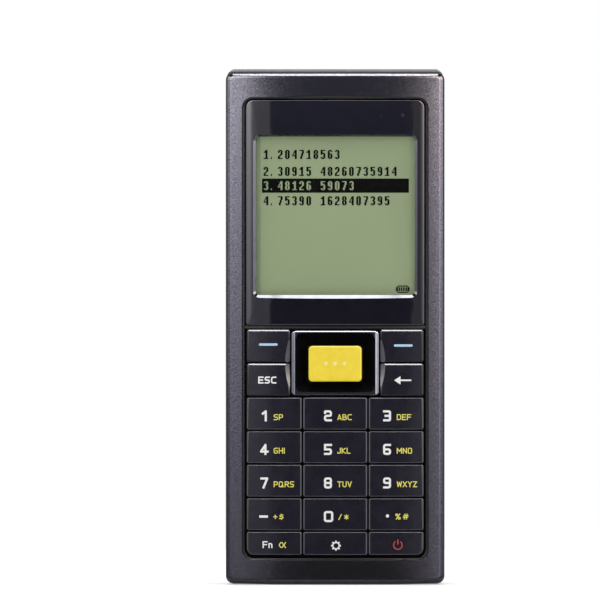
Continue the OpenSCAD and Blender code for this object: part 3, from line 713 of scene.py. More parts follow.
class TERMINAL_OT_front_housing(bpy.types.Operator):
    """Builds the crowned front housing with its rounded edge, sunk ledge, opening and crossbars"""

    bl_idname = "terminal.front_housing"
    bl_label = "Front housing"

    # Gaps between the opening and what sits in it: beside the bezel, below the keys and above the bezel
    SIDE_GAP, LOW_GAP, HIGH_GAP = 0.35 * MM, 0.95 * MM, 0.3 * MM
    OPENING_RADII = [2.4 * MM, 2.4 * MM, 2.5 * MM, 2.5 * MM]
    # The ledge reaches this far round the opening, with an arch above the bezel and a lip below the keys
    LEDGE = 0.55 * MM
    LEDGE_RADII = [2.7 * MM, 2.7 * MM, 2.8 * MM, 2.8 * MM]
    ARCH_SPAN = 18.4 * MM
    ARCH_RISE = 0.9 * MM
    LIP_SPAN = 17.7 * MM
    LIP_DROP = 0.275 * MM
    # The base bows out in the middle of its width
    BOW_RADIUS = 900 * MM
    BOW_FLAT = 0.15 * MM
    # The crossbar between bezel and keys: depth of its upper and lower step, gaps to the keys and the bezel
    BRIDGE_SINK, BRIDGE_STEP = 1.1 * MM, 0.7 * MM
    BRIDGE_GAPS, STEP_GAP = (0.32 * MM, 0.4 * MM), 0.08 * MM
    BRIDGE_CORNERS, BRIDGE_EDGE = [0.05 * MM] * 4, 0.12 * MM
    # Depth that the walls round the opening reach to
    CEILING = -10 * MM

    def execute(self, context):
        body = context.scene.terminal_body
        half = BEZEL[1].x + self.SIDE_GAP
        opening = (-half, half)
        opening_up = (KEYS_LOW - self.LOW_GAP, BEZEL[1].z + self.HIGH_GAP)
        bm = self.shell(body, opening, opening_up)
        low, high = self.BRIDGE_GAPS
        self.bridge_bar(bm, opening, (KEYS_HIGH + low, BEZEL[0].z - high), self.BRIDGE_SINK)
        self.bridge_bar(bm, opening, (KEYS_HIGH + self.STEP_GAP, BEZEL[0].z - self.STEP_GAP),
                        self.BRIDGE_SINK + self.BRIDGE_STEP)
        piece = to_object("front_housing_shell", bm)
        dress(piece, [metallic_paint(), finish("painted_shade_satin_abs")], "terminal",
              ["front_housing"])

        def painted_shade(face):
            """Whether the face takes the dark finish of painted shade: on the sunk ledge with what it holds, and
            on the top's upper edge by the seam.
            """
            x, y, z = face.center
            sunk = y > crown(SHELL[0].y, x) + 0.12 * MM
            inside = abs(x) < opening[1] + self.LEDGE and opening_up[0] - 1.2 * MM < z < opening_up[1] + 1.5 * MM
            edge_on = 0.9 < face.normal.z < 0.998 and z > SHELL[1].z - 0.12 * MM
            return edge_on or sunk and inside

        share_out(piece, painted_shade)
        return {"FINISHED"}

    def shell(self, body, opening, opening_up):
        wide, tall = spans(SHELL)
        apex, rear = SHELL[0].y, SHELL[1].y
        ledge_wide = grow(opening, self.LEDGE)
        ledge_up = grow(opening_up, self.LEDGE / 2)
        reach = ledge_wide[1] - sum(self.LEDGE_RADII) / 4
        lip = [s * x / reach for s in (-1, 1) for x in (self.LIP_SPAN, self.LIP_SPAN - 0.25 * MM)]
        stops = sorted(even_stops(SHELL_STOPS) + lip)
        arch_radius = (self.ARCH_SPAN ** 2 + self.ARCH_RISE ** 2) / (2 * self.ARCH_RISE)

        def bow(x):
            return max(0.0, x * x / (2 * self.BOW_RADIUS) - self.BOW_FLAT)

        def arch(x):
            rise = self.ARCH_RISE - arch_radius + math.sqrt(arch_radius ** 2 - x * x)
            return max(0.0, rise - self.LEDGE / 2)

        def lip_drop(x):
            return -self.LIP_DROP if abs(x) < self.LIP_SPAN - 0.1 * MM else 0.0

        def outer(inset):
            radii = grown_radii([body.corner_radius] * 4, -inset)
            return outline(grow(wide, -inset), grow(tall, -inset), radii, stops, low_shift=bow)

        def ledge_ring(d):
            return outline(grow(ledge_wide, d), grow(ledge_up, d), grown_radii(self.LEDGE_RADII, d), stops,
                           low_shift=lip_drop, high_shift=arch)

        def opening_ring(d):
            return outline(grow(opening, d), grow(opening_up, d), self.OPENING_RADII, stops)

        sink = body.ledge_depth
        rings = [at_depth(outer(0), rear)]
        rings += [on_crown(outer(i), apex + s) for i, s in arc_profile(body.edge_radius, 8)]
        face_in, face_out = on_crown(ledge_ring(0.1 * MM), apex), rings[-1]
        rings += [seated(between(face_out, face_in, share), apex) for share in (0.02, 0.35, 0.7, 0.98, 1.0)]
        rings += [on_crown(ledge_ring(d), apex + s) for d, s in (
            (0.03 * MM, 0.015 * MM), (0, 0.06 * MM), (0, sink - 0.1 * MM), (-0.05 * MM, sink))]
        rings += [on_crown(opening_ring(d), apex + sink + s) for d, s in (
            (0.1 * MM, 0), (0.03 * MM, 0.04 * MM), (0, 0.14 * MM))]
        rings += [at_depth(opening_ring(0), self.CEILING)]
        rings += [at_depth(outer(body.wall), self.CEILING), at_depth(outer(body.wall), rear)]
        return loft(rings, closed=True)

    def bridge_bar(self, bm, opening, up, sink):
        """A crossbar between the bezel and the keys, sunk below the crown."""
        stops = even_stops(KEY_STOPS * 2)
        rings = [at_depth(outline(opening, up, self.BRIDGE_CORNERS, stops), self.CEILING)]
        rings += crowned_rings(opening, up, self.BRIDGE_CORNERS, SHELL[0].y + sink,
                               arc_profile(self.BRIDGE_EDGE, 3), stops)
        loft(rings, face=True, back=True, bm=bm)


# ------------------------------------------------------------------ rear housing

# The back in millimetres: its half width, its depth at the grip and the head, and its long edges' radius
BACK_HALF, GRIP_DEPTH, HEAD_DEPTH, BACK_ROUND = 28.75, 13.5, 15, 8
# Heights between which a finger scoop runs, and its depth
SCOOP = (61, 95)
SCOOP_DEPTH = 3.2


def scooped(z):
    """Rear depth of the finger scoop, in millimetres."""
    share = (z - SCOOP[0]) / (SCOOP[1] - SCOOP[0])
    rise = (HEAD_DEPTH - GRIP_DEPTH) * share
    return GRIP_DEPTH + rise - SCOOP_DEPTH * (1 - math.cos(2 * math.pi * share)) / 2


# The back's half width, rear depth and edge radius, in millimetres, at heights above the base
BACK_ROWS = (
    (0, 26.75, 10, 5), (0.6, 27.9, 11, 5.6), (2, BACK_HALF, 11.9, 6.2), (5, BACK_HALF, 12.9, 7),
    (9, BACK_HALF, 13.25, 7.6), (15, BACK_HALF, GRIP_DEPTH, BACK_ROUND), (40, BACK_HALF, GRIP_DEPTH, BACK_ROUND),
    *((z, BACK_HALF, scooped(z), BACK_ROUND)
      for z in (SCOOP[0] + (SCOOP[1] - SCOOP[0]) * i / 20 for i in range(21))),
    (121.6, BACK_HALF, HEAD_DEPTH, BACK_ROUND), (127.6, BACK_HALF, 14.5, 7.8), (132, BACK_HALF, 13.2, 7),
    (134, 28.4, 11.6, 6.4), (135.1, 27.65, 10, 5.6), (135.6, 26.75, 9, 5),
)


def back_at(z):
    """Half width, depth and radius at a height, on smooth curves through the rows that never overshoot them."""
    low = max(k for k in range(len(BACK_ROWS) - 1) if BACK_ROWS[k][0] <= z)
    span = BACK_ROWS[low + 1][0] - BACK_ROWS[low][0]
    t = (z - BACK_ROWS[low][0]) / span
    values = []
    for column in (1, 2, 3):
        rises = [(b[column] - a[column]) / (b[0] - a[0]) for a, b in zip(BACK_ROWS, BACK_ROWS[1:])]
        ends = []
        for k in (low, low + 1):
            before, after = rises[max(k - 1, 0)], rises[min(k, len(rises) - 1)]
            ends.append(0 if before * after <= 0 else 2 * before * after / (before + after) * span)
        start, stop = BACK_ROWS[low][column], BACK_ROWS[low + 1][column]
        values.append(start * (1 + 2 * t) * (1 - t) ** 2 + ends[0] * t * (1 - t) ** 2
                      + stop * t * t * (3 - 2 * t) + ends[1] * t * t * (t - 1))
    return values


class TERMINAL_OT_rear_housing(bpy.types.Operator):
    """Builds the rear housing: finger scoop, battery bay, hinge, strap passage, sound slots, screw wells"""

    bl_idname = "terminal.rear_housing"
    bl_label = "Rear housing"

    # Heights of the back's sections in millimetres, each row as first, step and count
    SECTIONS = ((0, 0.2, 11), (2, 1, 14), (17, 6, 8), (SCOOP[0], 1.7, 21), (98, 6, 4), (121.6, 1, 11),
                (132, 0.4, 10))
    # The hollow ends this high
    HOLLOW_TOP = 132
    # The seal's edge stands this far above the front shell, a dark line of painted shade for the seam's shadow
    # gap, and the seal is this wide
    SEAL_SHADE_TOP = SHELL[1].z + 0.35 * MM
    SEAL_WIDTH = 1.4 * MM
    # Places in millimetres of the screws, as (x, z), and of the cover's hinge, as (y, z)
    SCREWS = [(x, z) for x in (-22.55, 22.55) for z in (4.7, 130)]
    HINGE = (11.9, 57.6)

    def execute(self, context):
        wall = context.scene.terminal_body.wall / MM
        front = REAR[0].y / MM
        heights = sorted({
            round(first + step * i, 2) for first, step, count in self.SECTIONS for i in range(count)})
        shell = to_object("rear_housing_shell", self.form(heights, 0, front))
        inner = [z for z in heights if wall <= z <= self.HOLLOW_TOP]
        cavity = to_object("cavity", self.form(inner, wall, front - 1))
        for solid in self.inner_forms():
            cut(cavity, solid)
        hollow = bmesh.new()
        hollow.from_mesh(cavity.data)
        bpy.data.objects.remove(cavity)
        cut(shell, hollow)
        for solid in self.openings():
            cut(shell, solid)
        dress(shell, [finish("spark_eroded_abs"), finish("painted_highlight_abs")], "terminal",
              ["rear_housing"])
        # The parting face above the front shell takes the paler finish, a painted highlight
        share_out(shell, lambda face: face.normal.y < -0.9 and face.center.z > SHELL[1].z
                  and face.center.y < REAR[0].y + 0.1 * MM)
        self.seal()
        return {"FINISHED"}

    def seal(self):
        """The seal between the shells, whose dark edge stands above the front one as painted shade in the seam.
        """
        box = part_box("housing_seal")
        across, up = spans(box)
        up, deep = (up[0], self.SEAL_SHADE_TOP), (box[0].y, box[1].y)
        outside = outline(across, up, [1.5 * MM] * 4, even_stops(KEY_STOPS))
        inside = outline(grow(across, -self.SEAL_WIDTH), grow(up, -self.SEAL_WIDTH), [0.3 * MM] * 4,
                         even_stops(KEY_STOPS))
        rings = [at_depth(points, y) for points, y in (
            (outside, deep[0]), (outside, deep[1]), (inside, deep[1]), (inside, deep[0]))]
        dress(to_object("seal_ring", loft(rings, closed=True)), [finish("silicone_rubber")], "terminal",
              ["housing_seal"])

    def form(self, heights, inset, front):
        """The back's outer form, or the same form further in."""
        quarter = [math.pi / 2 * i / 9 for i in range(10)]
        rings = []
        for z in heights:
            half, deep, radius = (v - inset for v in back_at(z))
            side, back = half - radius, deep - radius
            ring = [(half, front), (half, (front + back) / 2)]
            ring += [(side + radius * math.cos(a), back + radius * math.sin(a)) for a in quarter]
            ring += [(side * k / 4, deep) for k in (2, 0, -2)]
            ring += [(-side - radius * math.sin(a), back + radius * math.cos(a)) for a in quarter]
            ring += [(-half, (front + back) / 2), (-half, front)]
            rings.append([Vector((x * MM, y * MM, z * MM)) for x, y in ring])
        return loft(rings, front=True, back=True)

    def bar(self, across, deep, up, bm=None):
        """A bar over three spans in millimetres."""
        return box_mesh(*([v * MM for v in span] for span in (across, deep, up)), bm=bm)

    def pins(self, radius, deep, places=SCREWS):
        """Round bars along Y at the screws, in millimetres."""
        bm = bmesh.new()
        for x, z in places:
            drum((x * MM, z * MM), radius * MM, [v * MM for v in deep], bm=bm)
        return bm

    def crossbar(self, profile, reach, ends=True):
        """A bar along X over a profile of (y, z) points, as far to both sides, in millimetres."""
        rings = [[Vector((x * MM, y * MM, z * MM)) for y, z in profile] for x in (-reach, reach)]
        return loft(rings, front=ends, back=ends)

    def rod(self, centre, radius, reach):
        """A round bar along X."""
        bm = self.crossbar(circle(centre, radius), reach, ends=False)
        corners = bm.verts[:]
        bm.faces.new(corners[:CIRCLE_STEPS])
        bm.faces.new(corners[:CIRCLE_STEPS - 1:-1])
        return bm

    def inner_forms(self):
        """What stands inside the shell, in millimetres."""
        yield self.bar((-21.6, 21.6), (0.8, 12), (8.2, 61.3))  # walls of the battery bay
        for side in ((-23.8, -20.6), (20.6, 23.8)):
            yield self.bar(side, (9.5, 20), (55.2, 60))  # hinge cheek
        yield self.bar((-4, 7), (9.2, 20), (4.8, 9.5))  # keeper of the latch
        yield self.bar((21.15, 27.75), (3, 20), (16, 23.6))  # strap post
        for screw in self.SCREWS:
            yield self.pins(3.2, (-6, 20), [screw])  # its boss

    def openings(self):
        """What is cut through to the outside, in millimetres."""
        yield self.bar((-20.3, 20.3), (2, 20), (9.5, 57.6))  # battery bay
        yield self.bar((-21.25, 21.25), (11.55, 20), (8, 57.6))  # seat of its cover
        slope = 59.4 + 8.1 * math.tan(math.radians(12))
        yield self.crossbar(((11.9, 56.6), (20, 56.6), (20, slope), (11.9, 59.4)), 21.25)  # room to swing
        yield self.rod(self.HINGE, 1.8, 21.25)  # hinge barrel
        yield self.rod(self.HINGE, 0.85, 22.3)  # hinge pins
        yield self.bar((-2.3, 2.3), (10.4, 20), (6, 9.51))  # notch for the latch's tongue
        yield self.bar((-2.31, 5.3), (10.4, 11.75), (6, 9.51))  # and its way to the side
        wells = self.pins(2.2, (0, 20))
        for i in range(-2, 3):
            self.bar((9.5 + 2 * i, 10.5 + 2 * i), (12, 20), (99.4, 107.4), bm=wells)  # sound slots
        self.bar((-9, 9), (-1, 3), (-1, 4.5), bm=wells)  # dock opening in the base
        yield wells
        yield self.pins(1.15, (-5, 1))  # screw holes
        yield self.bar((22.35, 29.75), (4.2, 6.8), (17.2, 22.4))  # strap passage, in from the side
        yield self.bar((22.35, 24.95), (4.2, 20), (17.2, 22.4))  # and out at the back
        yield self.bar((-13.3, 13.3), (-1.1, 8.1), (133.2, 137))  # seat of the scan window
        yield self.bar((-12.2, 12.2), (0, 7), (127.6, 137))  # way of the scanner's beam


# ------------------------------------------------------------------ display


class TERMINAL_OT_display(bpy.types.Operator):
    """Builds the gloss bezel with its sloped recess and the holes of its lights"""

    bl_idname = "terminal.display"
    bl_label = "Display bezel"

    CORNERS = [0.5 * MM, 0.5 * MM, 1.9 * MM, 1.9 * MM]
    WINDOW_CORNERS, BRIM_CORNERS = [1.1 * MM] * 4, [1.6 * MM] * 4
    # Share of the chamfer's width at the bezel's upper and lower edge
    UPRIGHT = 0.6
    # How far the recess reaches beyond the window below, above and beside it, and how deep it is
    RECESS_LOW = 0.93 * MM
    RECESS_HIGH = 0.5 * MM
    RECESS_SIDE = 0.65 * MM
    RECESS_DEPTH = 0.8 * MM
    # How far the recess's lower edge rises at its ends, and how far the pane's pocket spreads round the window
    LOW_EDGE_RISE = 0.22 * MM
    POCKET = 1.4 * MM
    # The face falls away by this much over this width at both sides
    SIDE_DROP = 0.03 * MM
    SIDE_WIDTH = 1.8 * MM
    # The two lights: places from the middle and below the bezel's upper edge, and radius
    LIGHTS_ASIDE = (12 * MM, 17.7 * MM)
    LIGHTS_BELOW = 4 * MM
    LIGHT_RADIUS = 0.55 * MM

    def execute(self, context):
        bezel = to_object("bezel_frame", self.frame_mesh(context.scene.terminal_display))
        for x in self.LIGHTS_ASIDE:
            cut(bezel, drum((x, BEZEL[1].z - self.LIGHTS_BELOW), self.LIGHT_RADIUS, (-20 * MM, -11 * MM)))
        dress(bezel, [finish("hard_coated_polycarbonate"), finish("silver_foil"), finish("painted_highlight_cap_edge")],
              "terminal", ["display_bezel"])
        share_out(bezel, self.finish_of)
        return {"FINISHED"}

    def finish_of(self, face):
        """Foil on the slope round the window and on the flanks, and the lighter grey of painted highlight on
        edges above it and at the base.
        """
        normal, (x, y, z) = face.normal, face.center
        across, up = window_spans()
        slope = 0.3 < -normal.y < 0.97 and y < PANE[0].y
        recess = abs(x) < across[1] + self.RECESS_SIDE and BEZEL[0].z + 2 * MM < z < BEZEL[1].z - 2 * MM
        flank = abs(x) > BEZEL[1].x - 0.3 * MM and abs(normal.x) > 0.3 and -normal.y > 0.2
        if slope and recess:
            corner = z > up[1] - 1.1 * MM and abs(normal.x) > 0.1
            return 2 if corner else 1
        if flank:
            return 1
        return 2 if z < BEZEL[0].z + 0.2 * MM and -normal.y > 0.3 else 0

    def frame_mesh(self, display):
        apex, pane_y = BEZEL[0].y, PANE[0].y
        across, up = spans(BEZEL)
        window, window_up = window_spans()
        stops = even_stops(BEZEL_STOPS)
        edge_points = outline(window, window_up, self.WINDOW_CORNERS, stops)
        toe = [Vector((x, min(pane_y, crown(apex, x) + self.RECESS_DEPTH), z)) for x, z in edge_points]

        def bow(x):
            return self.LOW_EDGE_RISE * (x / window[1]) ** 2

        brim_up = (window_up[0] - self.RECESS_LOW, window_up[1] + self.RECESS_HIGH)
        brim = on_crown(
            outline(grow(window, self.RECESS_SIDE), brim_up, self.BRIM_CORNERS, stops, low_shift=bow), apex)
        rings = [at_depth(outline(across, up, self.CORNERS, stops), BEZEL[1].y)]
        chamfer = scaled(CHAMFER, display.bezel_edge)
        rings += crowned_rings(across, up, self.CORNERS, apex, chamfer, stops, self.UPRIGHT)
        rings += [seated(between(rings[-1], brim, share), apex)
                  for share in (0.02, 0.16, 0.32, 0.5, 0.7, 0.97, 1.0)]
        rings += [between(brim, toe, share) for share in (0.05, 0.95, 1.0)]
        rings += [at_depth(edge_points, pane_y)]
        pocket = outline(grow(window, self.POCKET), grow(window_up, self.POCKET), self.BRIM_CORNERS, stops)
        rings += [at_depth(pocket, pane_y), at_depth(pocket, BEZEL[1].y)]
        for ring in rings[1:]:
            for p in ring:
                p.y += self.SIDE_DROP * max(0.0, (abs(p.x) - across[1]) / self.SIDE_WIDTH + 1) ** 2
        return loft(rings, closed=True)


# ------------------------------------------------------------------ display content

DOT_DIGITS = {
    "0": "01110 11011 11011 11011 11011 11011 11011 11011 11011 01110",
    "1": "00110 01110 11110 00110 00110 00110 00110 00110 00110 11111",
    "2": "01110 11011 11011 00011 00011 00110 01100 11000 11000 11111",
    "3": "01110 11011 00011 00011 00110 00011 00011 00011 11011 01110",
    "4": "00011 00111 00111 01011 01011 10011 11111 00011 00011 00011",
    "5": "11111 11000 11000 11110 11011 00011 00011 00011 11011 01110",
    "6": "01110 11011 11000 11000 11110 11011 11011 11011 11011 01110",
    "7": "11111 00011 00011 00011 00110 00110 00110 01100 01100 01100",
    "8": "01110 11011 11011 11011 01110 11011 11011 11011 11011 01110",
    "9": "01110 11011 11011 11011 11011 01111 00011 00011 11011 01110",
    ".": "0 0 0 0 0 0 0 0 1 1",
}


class TERMINAL_OT_screen(bpy.types.Operator):
    """Builds the display's dark dots: four rows of plain numbers, one of them inverted, and a charge sign"""

    bl_idname = "terminal.screen"
    bl_label = "Display content"

    ROWS = ("1.204718563", "2.30915 48260735914", "3.48126 59073", "4.75390 1628407395")
    # Which row is inverted, how many dots wide its bar is, and how many it reaches above and below the digits
    INVERTED = 2
    BAR_DOTS = 164
    BAR_EDGE = 3
    # The upper dot of each row, the dots from one digit to the next, and the dots in a digit's height
    LINES = (0, 19, 35, 52)
    CELL = 8
    GLYPH = 10
    # The text's distance from the window's left and upper edge, and the sign's from its right and lower edge
    TEXT_INSET = (1.9 * MM, 3.5 * MM)
    SIGN_INSET = (1.4 * MM, 0.6 * MM)
    # How far a switched dot spreads past its cell, the same in the bar, and how far it stands out from the glass
    BLEED = 0.035 * MM
    BAR_BLEED = 0.004 * MM
    PROUD = 0.02 * MM
    # Width of the painted shadow strip inside the window's left edge, its reach behind the bezel, and its
    # thickness
    SHADOW_STRIP = 1.3 * MM
    TUCK = 0.5 * MM
    SKIN = 0.01 * MM

    def execute(self, context):
        dot = context.scene.terminal_display.dot
        across, up = window_spans()
        left, top = across[0] + self.TEXT_INSET[0], up[1] - self.TEXT_INSET[1]
        bm = bmesh.new()
        for number, text in enumerate(self.ROWS):
            base = top - self.LINES[number] * dot
            if number == self.INVERTED:
                self.inverted_row(bm, text, left, base, dot)
            else:
                for x, z in self.lit_dots(text):
                    self.tile(bm, left + x * dot, base - z * dot, dot, dot)
        self.charge_sign(bm, across[1] - self.SIGN_INSET[0], up[0] + self.SIGN_INSET[1], dot)
        dress(to_object("display_dots", bm), [finish("switched_lcd_dots")], "terminal")
        # A darker strip at the window's left edge: a painted shadow of the bezel
        shadow_strip = box_mesh((across[0] - self.TUCK, across[0] + self.SHADOW_STRIP),
                         (GLASS[0].y - self.SKIN, GLASS[0].y), grow(up, self.TUCK))
        dress(to_object("display_painted_shadow", shadow_strip), [finish("painted_shadow_lcd")], "terminal")
        return {"FINISHED"}

    def tile(self, bm, x, z, wide, tall, spread=BLEED):
        """A switched area whose upper left corner is at (x, z)."""
        y = GLASS[0].y
        box_mesh((x - spread, x + wide + spread), (y - self.PROUD, y), (z - tall - spread, z + spread), bm=bm)

    def lit_dots(self, text):
        """Places of the text's dots, in dots from its upper left corner."""
        for place, sign in enumerate(text):
            for row, line in enumerate(DOT_DIGITS.get(sign, "0").split()):
                for column, state in enumerate(line):
                    if state == "1":
                        yield place * self.CELL + 1 + column, row

    def inverted_row(self, bm, text, left, base, dot):
        """A dark bar whose digits are left unswitched, as runs of dots between them."""
        clear = set(self.lit_dots(text))
        for row in range(-self.BAR_EDGE, self.GLYPH + self.BAR_EDGE):
            run = 0
            for column in range(-1, self.BAR_DOTS + 1):
                if column < self.BAR_DOTS and (column, row) not in clear:
                    run += 1
                    continue
                if run:
                    start = left + (column - run) * dot
                    self.tile(bm, start, base - row * dot, run * dot, dot, self.BAR_BLEED)
                run = 0

    def charge_sign(self, bm, right, low, dot):
        """A small upright-sided cell with four bars, whose lower right corner is at (right, low)."""
        wide, tall = 15 * dot, 8 * dot
        left = right - wide
        for z in (low + dot, low + tall):
            self.tile(bm, left + 2 * dot, z, wide - 4 * dot, dot)
        for x in (left, right - 2 * dot):
            self.tile(bm, x, low + tall - 2 * dot, 2 * dot, tall - 4 * dot)
        for x in (left + dot, right - 2 * dot):
            for z in (low + tall - dot, low + 2 * dot):
                self.tile(bm, x, z, dot, dot)
        for i in range(4):
            self.tile(bm, left + (2.9 + 2.6 * i) * dot, low + tall - 2 * dot, 1.5 * dot, tall - 4 * dot)


# ------------------------------------------------------------------ keys


class TERMINAL_OT_keys(bpy.types.Operator):
    """Builds the key caps with their chamfers, and the crescents beside the navigation ring"""

    bl_idname = "terminal.keys"
    bl_label = "Key caps"

    CORNER = 0.5 * MM
    # The keypad's two lower corners, as the key's name and the place of the corner in its outline
    BIG_CORNER = 1.8 * MM
    BIG_CORNERS = {"key_fn": 0, "key_power": 1}
    # Share of the chamfer's width at a number key's upper and lower edge
    UPRIGHT = 0.62
    # The crescents' cone: how much wider than the thumb radius it is, at these depths from the face
    CONE = ((1.4 * MM, -1 * MM), (-5.6 * MM, 4 * MM))
    CONE_STEPS = 192

    def execute(self, context):
        keypad = context.scene.terminal_keypad
        finishes = [finish(name) for name in ("hard_coated_key_caps", "painted_highlight_cap_edge", "painted_highlight_side_edge")]
        stops = even_stops(KEY_STOPS)
        for key in KEYS:
            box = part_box(key)
            across, up = spans(box)
            at_side = key in SIDE_KEYS
            radii = [self.CORNER] * 4
            if key in self.BIG_CORNERS:
                radii[self.BIG_CORNERS[key]] = self.BIG_CORNER
            rings = [at_depth(outline(across, up, radii, stops), box[1].y)]
            rings += crowned_rings(across, up, radii, KEY_APEX + keypad.print_height,
                                   scaled(CHAMFER, keypad.bevel), stops, 1.0 if at_side else self.UPRIGHT)
            cap = to_object(key + "_cap", loft(rings, face=True, back=True))
            if at_side:
                cut(cap, self.crescent(keypad, math.copysign(1, across[0])))
            dress(cap, finishes, key, [key])
            share_out(cap, lambda face: self.finish_of(face, at_side, keypad))
        return {"FINISHED"}

    def finish_of(self, face, at_side, keypad):
        """Lighter grey painted highlight on number keys' chamfers and side keys' crescents, and a brighter
        painted highlight under a hard coat on side keys' upper edges.
        """
        normal = face.normal
        sloped = 0.3 < -normal.y < 0.92
        if not at_side:
            return sloped
        centre = self.crescent_centre(keypad, math.copysign(1, face.center.x))
        away = Vector((face.center.x - centre[0], face.center.z - centre[1]))
        inward = normal.x * away.x + normal.z * away.y < -0.4 * away.length
        if sloped and inward and away.length < keypad.thumb_radius:
            return 1
        return 2 if normal.z > 0.4 and -normal.y > 0.3 else 0

    def crescent_centre(self, keypad, side):
        return side * (keypad.thumb_reach - keypad.thumb_radius), (RING[0].z + RING[1].z) / 2

    def crescent(self, keypad, side):
        """A blunt cone along Y whose slope leaves a crescent beside the ring."""
        centre = self.crescent_centre(keypad, side)
        face_y = crown(KEY_APEX + keypad.print_height, keypad.thumb_reach)
        rings = [at_depth(circle(centre, keypad.thumb_radius + wider, self.CONE_STEPS), face_y + deeper)
                 for wider, deeper in self.CONE]
        return loft(rings, front=True, back=True)


class TERMINAL_OT_scan_controls(bpy.types.Operator):
    """Builds the navigation ring with its dish, and the yellow scan key with its three dots"""

    bl_idname = "terminal.scan_controls"
    bl_label = "Navigation ring and scan key"

    # Width of the ring's rim beside and above the dish, and how far up the dish's lower slope starts
    RIM = 0.9 * MM
    UPPER_RIM = 0.5 * MM
    LOW_RIM = 0.42 * MM
    # The rim's section, as (inset, depth below the face)
    RIM_PROFILE = [(i * MM, s * MM) for i, s in (
        (0, 0.42), (0.02, 0.32), (0.05, 0.27), (0.72, 0.03), (0.8, 0.005), (0.86, 0))]
    RING_CORNERS, DISH_CORNERS = [0.9 * MM] * 4, [1.2 * MM] * 4
    # Share of the rim's inset at the ring's upper and lower end
    UPRIGHT = 0.42
    # The rim falls away towards its upper and lower ends, as an arc of this radius
    RIM_ARC = 80 * MM
    DISH_DEPTH = 3.0 * MM
    # Half width and height of the hole that the scan key stands in
    HOLE = (7.7 * MM, 5.2 * MM)
    # The scan key's corners, the rounding of its edge, and its three dots
    KEY_CORNERS = [1.0 * MM] * 4
    KEY_EDGE = 0.5 * MM
    DOTS_AT = (-2.4 * MM, 0, 2.4 * MM)
    DOT_RADIUS = 0.48 * MM
    DOT_STEPS = 20
    # A dot's section, as shares of its radius and millimetres above the yellow face
    DOME = ((1.0, -0.1), (1.0, 0.0), (0.8, 0.02), (0.45, 0.035))

    def execute(self, context):
        scan_middle = (SCAN[0].z + SCAN[1].z) / 2
        self.ring(scan_middle)
        self.scan_key(scan_middle)
        return {"FINISHED"}

    def ring(self, middle):
        apex = RING[0].y + 0.02 * MM
        across, up = spans(RING)
        middle_up = (up[0] + up[1]) / 2
        stops = even_stops(RING_STOPS)
        rings = [at_depth(outline(across, up, self.RING_CORNERS, stops), RING[1].y)]
        rings += crowned_rings(across, up, self.RING_CORNERS, apex, self.RIM_PROFILE, stops, self.UPRIGHT)
        rim_up = (up[0] + self.RIM, up[1] - self.UPPER_RIM)
        rim = at_depth(outline(grow(across, -self.RIM), rim_up, self.DISH_CORNERS, stops), apex)
        wide, tall = self.HOLE
        hole = outline((-wide, wide), (middle - tall, middle + tall), self.DISH_CORNERS, stops)
        foot = at_depth(hole, apex + self.DISH_DEPTH)
        brim = [meet_crown(q, p, apex) for p, q in zip(rim, foot)]
        rings += [seated(between(rings[-1], brim, share), apex) for share in (0.1, 0.9, 1.0)]
        rings += [between(brim, foot, share) for share in (0.04, 0.5, 1.0)]
        for ring in rings[1:]:
            for p in ring:
                p.y += (p.z - middle_up) ** 2 / (2 * self.RIM_ARC)
        rings += [at_depth(hole, RING[1].y)]
        piece = to_object("nav_ring_cap", loft(rings, closed=True))
        dress(piece, [finish("hard_coated_key_caps"), finish("painted_shade_dish"), finish("bright_foil")],
              "nav_ring", ["nav_ring"])

        def finish_of(face):
            """Near-black painted shade in the dish, and foil on the slopes outside it."""
            outward, z = -face.normal.y, face.center.z
            if (abs(face.center.x) < across[1] - self.RIM + 0.02 * MM
                    and up[0] + self.LOW_RIM < z < up[1] - self.UPPER_RIM):
                return outward < 0.97
            return 2 if 0.3 < outward < 0.985 else 0

        share_out(piece, finish_of)

    def scan_key(self, middle):
        apex = SCAN[0].y
        across, up = spans(SCAN)
        stops = even_stops(SCAN_STOPS)
        rings = [at_depth(outline(across, up, self.KEY_CORNERS, stops), SCAN[1].y)]
        rings += crowned_rings(across, up, self.KEY_CORNERS, apex, arc_profile(self.KEY_EDGE, 6), stops)
        key = to_object("scan_key_cap", loft(rings, face=True, back=True))
        dress(key, [scan_yellow()], "scan_key", ["scan_key"])
        bm = bmesh.new()
        for x in self.DOTS_AT:
            face_y = crown(apex, x)
            loft([at_depth(circle((x, middle), self.DOT_RADIUS * share, self.DOT_STEPS), face_y - rise * MM)
                  for share, rise in self.DOME], front=True, back=True, bm=bm)
        dress(to_object("scan_key_dots", bm), [finish("light_pipe_ends")], "scan_key", sharp=60)


# ------------------------------------------------------------------ key marks

